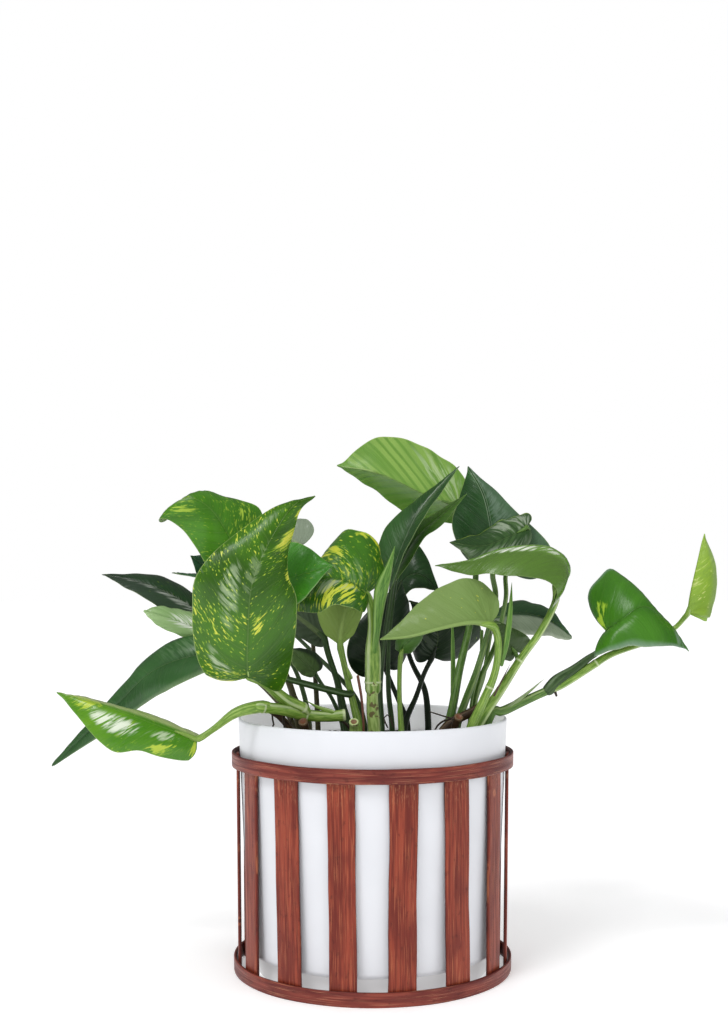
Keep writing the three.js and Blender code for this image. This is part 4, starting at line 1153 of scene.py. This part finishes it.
class LeafFinish(Finish):
    """What a leaf's material is made of. Its noise is drawn out along the side veins."""

    def __init__(self, name, leaf, seed):
        super().__init__(name, Specular_IOR_Level=0.34, Coat_Weight=leaf.coat, Coat_Roughness=0.18)
        self.leaf = leaf
        self.seed = seed
        self.across, _, self.below = self.split(self.read("blade"))
        self.vein = self.read("vein")
        by_vein, _, self.distance = self.split(self.vein)
        self.order = by_vein * (1 / (Path(leaf.spine).length * MM))  # the vein: 0 at the base, 1 at the tip
        self.cloud = self.drawn(0.6, 38, 2)
        self.streaks = self.drawn(0.06, 1100, 3, 0.6)
        self.silk = self.drawn(0.11, 540, 3, 0.6, 0.5, shift=(seed * 0.31, 5.2, 0))
        self.line = self.math("PINGPONG", self.order * VEIN_COUNT + self.cloud * 1.1, 0.5)
        self.on_line = self.step(self.line, 0, VEIN_LINE, 1, 0)
        self.pale = blend(0.45, rgb(leaf.light), rgb(PALE_LINE))

    def drawn(self, stretch, *kind, shift=None):
        own = (self.seed * 1.31, self.seed * 0.77, self.seed * 0.53)
        return self.noise(self.vein, *kind, stretch=(1, stretch, 0), shift=shift or own)

    def away_from(self, across, order, wide, tall):
        """How far a point is from the middle of a spot: 1 at the spot's edge, squared."""
        dx = (self.across - across) * (1 / wide)
        dy = (self.order - order) * (1 / tall)
        return dx * dx + dy * dy

    def paint_greens(self):
        """Two greens, and each side vein as a thin pale line, with painted shade in the groove beside the
        line.
        """
        leaf = self.leaf
        furrow_shade = min(0.3, 2 * leaf.veins) if leaf.furrow_shade is None else leaf.furrow_shade
        self.between(leaf.dark, leaf.light, self.cloud, 0.35, 0.65)
        self.paint(leaf.light, self.streaks, 0.42, 0.7, 0, 0.25)
        self.paint(leaf.dark, self.streaks, 0.3, 0.46, 0.22, 0)
        # painted shade in the groove beside each vein
        self.paint(leaf.dark, self.line, VEIN_LINE, 0.3, furrow_shade, 0)
        strength = self.step(abs(self.across), 0.4, 0.98, leaf.veins, 0.1 * leaf.veins)
        self.paint(self.pale, self.on_line * strength)

    def paint_marbling(self):
        """Flecks, patches and spots, each with a yellow-green fringe."""
        leaf, seed = self.leaf, self.seed
        if leaf.flecks or leaf.patches:
            favour = (self.drawn(0.5, 75, 1) - 0.5) * 0.3 + self.across * (0.09 * leaf.lean)
            for scale, low in ((1100, 0.82 - 0.16 * leaf.flecks), (620, 0.86 - 0.19 * leaf.flecks)):
                dash = self.drawn(0.36, scale, 1.5, 0.5, 0.3, shift=(seed * 2.1, seed, 0)) + favour
                self.paint(YELLOW_GREEN, dash, low - 0.06, low + 0.02, 0, 0.7)
                self.paint(leaf.gold, dash, low + 0.01, low + 0.06)
        if leaf.patches:
            ragged = self.drawn(0.1, 1500, 2, 0.6, shift=(seed, 1.9, 0))
            patch = self.drawn(0.28, 120, 3, 0.6, 0.5, shift=(seed * 0.7, 3.3, 0)) + favour + ragged * 0.3
            edge = 0.92 - 0.22 * leaf.patches
            self.paint(YELLOW_GREEN, patch, edge - 0.09, edge + 0.03, 0, 0.8)
            self.paint(leaf.gold, patch, edge + 0.02, edge + 0.1, 0, 0.9)
        torn = self.drawn(0.14, 700, 3, 0.6) - 0.5
        for *spot, ragged in leaf.spots:
            away = self.away_from(*spot) + torn * ragged
            self.paint(YELLOW_GREEN, away, 0.4, 1.1, 0.8, 0)
            self.paint(leaf.gold, away, 0.2, 0.7, 1, 0)

    def paint_midrib(self):
        """The midrib as one pale line or as two grey ones, with painted shade in its groove, and the pale
        margin.
        """
        if self.leaf.double:
            # painted shade in the midrib's groove, between the two grey lines
            self.paint(self.leaf.dark, self.distance, 0.3 * MM, 0.5 * MM, 0.8, 0)
            beside = abs(self.distance - 0.7 * MM)
            self.paint(GREY_LINE, beside, 0.05 * MM, 0.28 * MM, self.leaf.double, 0)
        else:
            self.paint(self.pale, self.distance, 0.15 * MM, 0.5 * MM, 0.35, 0)
            # painted shade beside the pale line, in the midrib's groove
            self.paint(self.leaf.dark, self.distance, 0.5 * MM, 1.4 * MM, 0.35, 0)
        self.paint(PALE_LINE, abs(self.across), 0.975, 0.997, 0, 0.55)

    def paint_underside(self):
        """A plainer green with darker veins, a pale midrib and, on a marbled leaf, a few flecks."""
        leaf = self.leaf
        self.between(leaf.below, leaf.light, self.cloud, 0.35, 0.65, 0, 0.2)
        self.paint(leaf.dark, self.on_line * min(0.22, 1.5 * leaf.veins))
        self.paint(self.pale, self.distance, 0.6 * MM, 1.5 * MM, 0.5, 0)
        if leaf.flecks:
            low = 0.86 - 0.1 * leaf.flecks
            self.paint(YELLOW, self.drawn(0.6, 700, 1) + self.cloud * 0.2, low, low + 0.04, 0, 0.7)

    def paint_tints_sheen_and_shade(self):
        """Part of a half takes its own tint: a painted sheen where the light catches it, painted shade where
        it faces down, and a turned-over margin its own paler colour.
        """
        grain = self.step(self.streaks, 0.3, 0.6, 0.75, 1)
        for side, start, end, tint, strength in self.leaf.tints_sheen_and_shade:
            # painted sheen and painted shade, besides the real colour of turned-over margins
            self.paint(tint, self.step(self.across * side, start, end, 0, strength) * grain)

    def paint_highlights(self):
        """Painted highlights: pale silky streaks between the veins of the upper face, where the light would
        catch the wax.
        """
        for *place, strength, tint in self.leaf.painted_highlights:
            # painted highlight: a pale streaky patch laid into the colour
            near = self.step(self.away_from(*place), 0.1, 1.2, 1, 0)
            silky = self.step(self.silk + near * 0.08, 0.5, 0.65, 0, strength)
            self.paint(tint, near * (1 - self.below) * silky)


def leaf_material(name, leaf, seed):
    """A waxy leaf: greens, veins and marbling on its upper face, and a duller underside."""
    f = LeafFinish(name, leaf, seed)
    f.paint_greens()
    f.paint_marbling()
    marbled = f.tone
    f.paint_midrib()
    top = f.tone
    f.paint_underside()
    if leaf.through:
        f.paint(marbled, leaf.through)
    f.tone = f.mix(f.below, top, f.tone)
    f.paint_tints_sheen_and_shade()
    f.paint_highlights()
    rough = f.drawn(0.5, 90, 2) * 0.14 + (leaf.rough - 0.07) + f.below * 0.16
    return f.done(rough, f.streaks * 0.5 + f.line * 0.7 + f.silk, 0.85, 0.5)


def stem_material(name):
    """A stem or petiole: streaks along it, paler edges beside its groove, pale node rings and brown scabs."""
    dark, light, pale, scabs = STEM_LOOKS[name]
    f = Finish(f"stem_{name}", Specular_IOR_Level=0.45)
    stem = f.read("stem")
    around, _, ringed = f.split(stem)
    streak = f.noise(stem, 4.5, 3, 0.6, stretch=(2.2, 26, 0))
    f.between(dark, light, streak, 0.36, 0.66)
    f.paint(pale, abs(abs(around) - GROOVE_EDGE), 0.03, 0.12, 0.5, 0)
    f.paint(pale, ringed, 0.3, 0.9, 0, 0.75)
    f.paint("#7a4a34", ringed, 1.1, 1.7, 0, 0.9)
    if scabs:
        limit = 0.78 - 0.2 * scabs
        f.paint("#5b4428", f.noise(f.place(), 210, 2, 0.6), limit, limit + 0.06, 0, 0.85)
    return f.done(f.step(streak, 0.3, 0.7, 0.34, 0.52), streak, 0.5, 0.25)


def bamboo_material(name, dark, light, scratch, contrast):
    """Split bamboo with a reddish-brown stain: fibres and darker streaks along it, knots and pale scuffs, and
    a darker stain with painted shade on the back and edges of the strip.
    """
    f = Finish(name, Specular_IOR_Level=0.3)
    deep = blend(0.55, rgb(dark), BLACK)
    grain = f.read("grain")
    inner_stain_and_shade = f.split(grain)[2]
    fibres = f.noise(grain, 3800, 2, 0.6, stretch=(1, 0.009, 0))
    streaks = f.noise(grain, 620, 2, 0.5, 0.2, stretch=(1, 0.03, 0))
    f.between(dark, light, streaks, 0.34, 0.66, 0.5 - 0.4 * contrast, 0.5 + 0.4 * contrast)
    f.paint(dark, f.noise(grain, 70, 3, stretch=(1, 0.4, 0)), 0.45, 0.62, 0, 0.7)
    f.paint(deep, f.noise(grain, 330, 3, 0.6, stretch=(1, 0.5, 0)), 0.58, 0.68, 0, 0.45)
    f.paint(scratch, fibres, 0.58, 0.67, 0, 0.65 * contrast)
    f.paint(deep, fibres, 0.28, 0.38, 0.5 * contrast, 0)
    place = f.stretched(grain, (1, 0.8, 0), (0.013, 0.021, 0))
    knots = f.node("TexVoronoi", "Distance", {"Vector": place, "Scale": 30})
    f.paint(deep, knots, 0.02, 0.04, 0.85, 0)
    f.paint(scratch, f.step(knots, 0.03, 0.045) * f.step(knots, 0.045, 0.08, 0.5, 0))
    # Pale frayed fibres at the top of the slats, below the hoop.
    height = f.split(f.place())[2]
    near_top = f.step(height, 0.1, 0.115) * f.step(height, 0.1165, 0.118, 1, 0)
    fray = f.noise(grain, 1500, 3, 0.65, stretch=(1, 0.12, 0), shift=(0, 2, 0))
    f.paint("#c08560", near_top * f.step(fray, 0.54, 0.66, 0, 0.55))
    # darker stain and painted shade on the back and edges, which face the pot
    f.paint("#2a1112", inner_stain_and_shade, 0.3, 0.9, 0, 0.75)
    return f.done(f.step(streaks, 0.3, 0.7, 0.5, 0.36), fibres * 0.7 + streaks * 0.5, 0.5, 0.3)


def pot_material():
    """White moulded plastic with a satin skin, and a little brown soiling just above the soil. Painted light:
    a weak glow on the wall inside, above the soil, and at the foot brightens them where they lie in shade."""
    f = Finish("pot_white", Specular_IOR_Level=0.5)
    place = f.place()
    x, y, z = f.split(place)
    f.between("#e3e5ea", "#e6e8ed", f.noise(place, 30, 2), 0.35, 0.65)
    taper = (POT_RIM_R - POT_BOTTOM_R) / (POT_RIM_Z - POT_BOTTOM_Z)
    outside = (POT_BOTTOM_R - taper * POT_BOTTOM_Z) * MM  # the wall's radius if it weren't tapered
    upright = f.math("SQRT", x * x + y * y) - z * taper
    within = f.step(upright, outside - 1.6 * MM, outside - 0.9 * MM, 1, 0)
    height = z + f.noise(place, 160, 3) * (6 * MM)
    dirt_and_glow_span = ((SOIL_Z + 1.5) * MM, (SOIL_Z + 4) * MM)  # where the brown soiling fades out above the soil, and where the painted glow on the wall rises to its full strength
    f.paint("#6a5a48", within * f.step(height, *dirt_and_glow_span, 0.35, 0))
    # painted light: the foot and the wall inside glow a little, to lift their shade
    foot = f.step(z, POT_BOTTOM_Z * MM, (POT_BOTTOM_Z + 0.5) * MM, 0.09, 0)
    f.put(f.shader_input("Emission Strength"), within * f.step(height, *dirt_and_glow_span, 0.15, 0.3) + foot)
    f.put(f.shader_input("Emission Color"), WHITE)
    satin = f.step(f.noise(place, 220, 2), 0.3, 0.7, 0.3, 0.4)
    return f.done(satin, f.noise(place, 1800, 2), 0.12, 0.05)


def soil_material():
    """Moist potting mix, nearly black."""
    f = Finish("soil_dark", Specular_IOR_Level=0.3)
    grit = f.noise(f.place(), 900, 4, 0.7)
    f.between("#17120e", "#33271d", f.noise(f.place(), 130, 3), 0.35, 0.7)
    f.paint("#5a4734", grit, 0.6, 0.72, 0, 0.7)
    return f.done(f.step(grit, 0.3, 0.7, 0.95, 0.7), grit, 0.9, 1.2)


def bark_material():
    """Bits of composted bark in the soil."""
    f = Finish("soil_bark", Specular_IOR_Level=0.3)
    grit = f.noise(f.place(), 700, 3, 0.6)
    f.between("#2e2018", "#6b4e36", grit, 0.35, 0.65)
    return f.done(f.step(grit, 0.3, 0.7, 0.9, 0.7), grit, 0.8, 0.8)


# ---- stage ----
AMBIENT = 0.6  # the surround's light on the object, where 1 is as bright as it is seen
MIRRORED = 0.18  # the same, for what a glossy surface mirrors
FLOOR_REACH = 9  # metres
FLOOR_GLOW = 0.25


def build_floor():
    mesh = bpy.data.meshes.new("floor")
    corners = [(x * FLOOR_REACH, y * FLOOR_REACH, 0) for x, y in ((-1, -1), (1, -1), (1, 1), (-1, 1))]
    mesh.from_pydata(corners, [], [(0, 1, 2, 3)])
    floor = bpy.data.objects.new("floor", mesh)
    bpy.context.scene.collection.objects.link(floor)
    f = Finish("floor_pale", Specular_IOR_Level=0.1, Base_Color=rgb("#fafafb"), Roughness=0.95)
    f.put(f.shader_input("Emission Color"), WHITE)
    f.put(f.shader_input("Emission Strength"), FLOOR_GLOW)
    mesh.materials.append(f.material)


def soft_light(name, away, strength, softness, mirrored=False):
    """A very large, even light that shines from the given direction."""
    data = bpy.data.lights.new(name, "SUN")
    data.energy = strength
    data.angle = math.radians(softness)
    light = bpy.data.objects.new(name, data)
    light.rotation_euler = Vector(away).to_track_quat("Z", "Y").to_euler()
    light.visible_glossy = mirrored
    bpy.context.scene.collection.objects.link(light)


def build_studio():
    """A white studio: an even surround, seen as white, a key from the upper left and two weaker lights that
    glossy surfaces don't mirror."""
    world = bpy.data.worlds.new("studio")
    bpy.context.scene.world = world
    world.use_nodes = True
    nodes, links = world.node_tree.nodes, world.node_tree.links
    rays = nodes.new("ShaderNodeLightPath").outputs
    seen = nodes.new("ShaderNodeMapRange")
    mirrored = nodes.new("ShaderNodeMapRange")
    seen.inputs["To Max"].default_value = 1
    mirrored.inputs["To Min"].default_value = AMBIENT
    mirrored.inputs["To Max"].default_value = MIRRORED
    links.new(rays["Is Glossy Ray"], mirrored.inputs["Value"])
    links.new(rays["Is Camera Ray"], seen.inputs["Value"])
    links.new(mirrored.outputs[0], seen.inputs["To Min"])
    links.new(seen.outputs[0], nodes["Background"].inputs["Strength"])
    nodes["Background"].inputs["Color"].default_value = WHITE
    soft_light("key", (-0.6, -0.75, 1.2), 1.05, 18, mirrored=True)
    soft_light("front", (0.04, -1, 0.15), 0.6, 60)
    soft_light("fill", (0.9, -0.4, 0.6), 0.2, 30)
    bpy.context.scene.view_settings.view_transform = "Standard"


def build_camera():
    data = bpy.data.cameras.new("camera")
    data.sensor_width = SENSOR_MM
    data.lens = FOCAL_PIXELS * SENSOR_MM / PHOTO_HEIGHT
    data.shift_x = (PHOTO_WIDTH / 2 - AXIS_PIXEL[0]) / PHOTO_HEIGHT
    data.shift_y = (AXIS_PIXEL[1] - PHOTO_HEIGHT / 2) / PHOTO_HEIGHT
    camera = bpy.data.objects.new("camera", data)
    camera.location = CAMERA_PLACE
    camera.rotation_euler = (math.pi / 2 - CAMERA_PITCH, 0, 0)
    bpy.context.scene.collection.objects.link(camera)
    bpy.context.scene.camera = camera


def main():
    build_camera()
    build_studio()
    build_floor()
    build_holder()
    build_pot()
    build_soil()
    finishes = {name: stem_material(name) for name in STEM_LOOKS}
    build_leaves(finishes)
    build_stems(finishes)
    build_spikes(finishes)
    build_small_parts(finishes)


main()
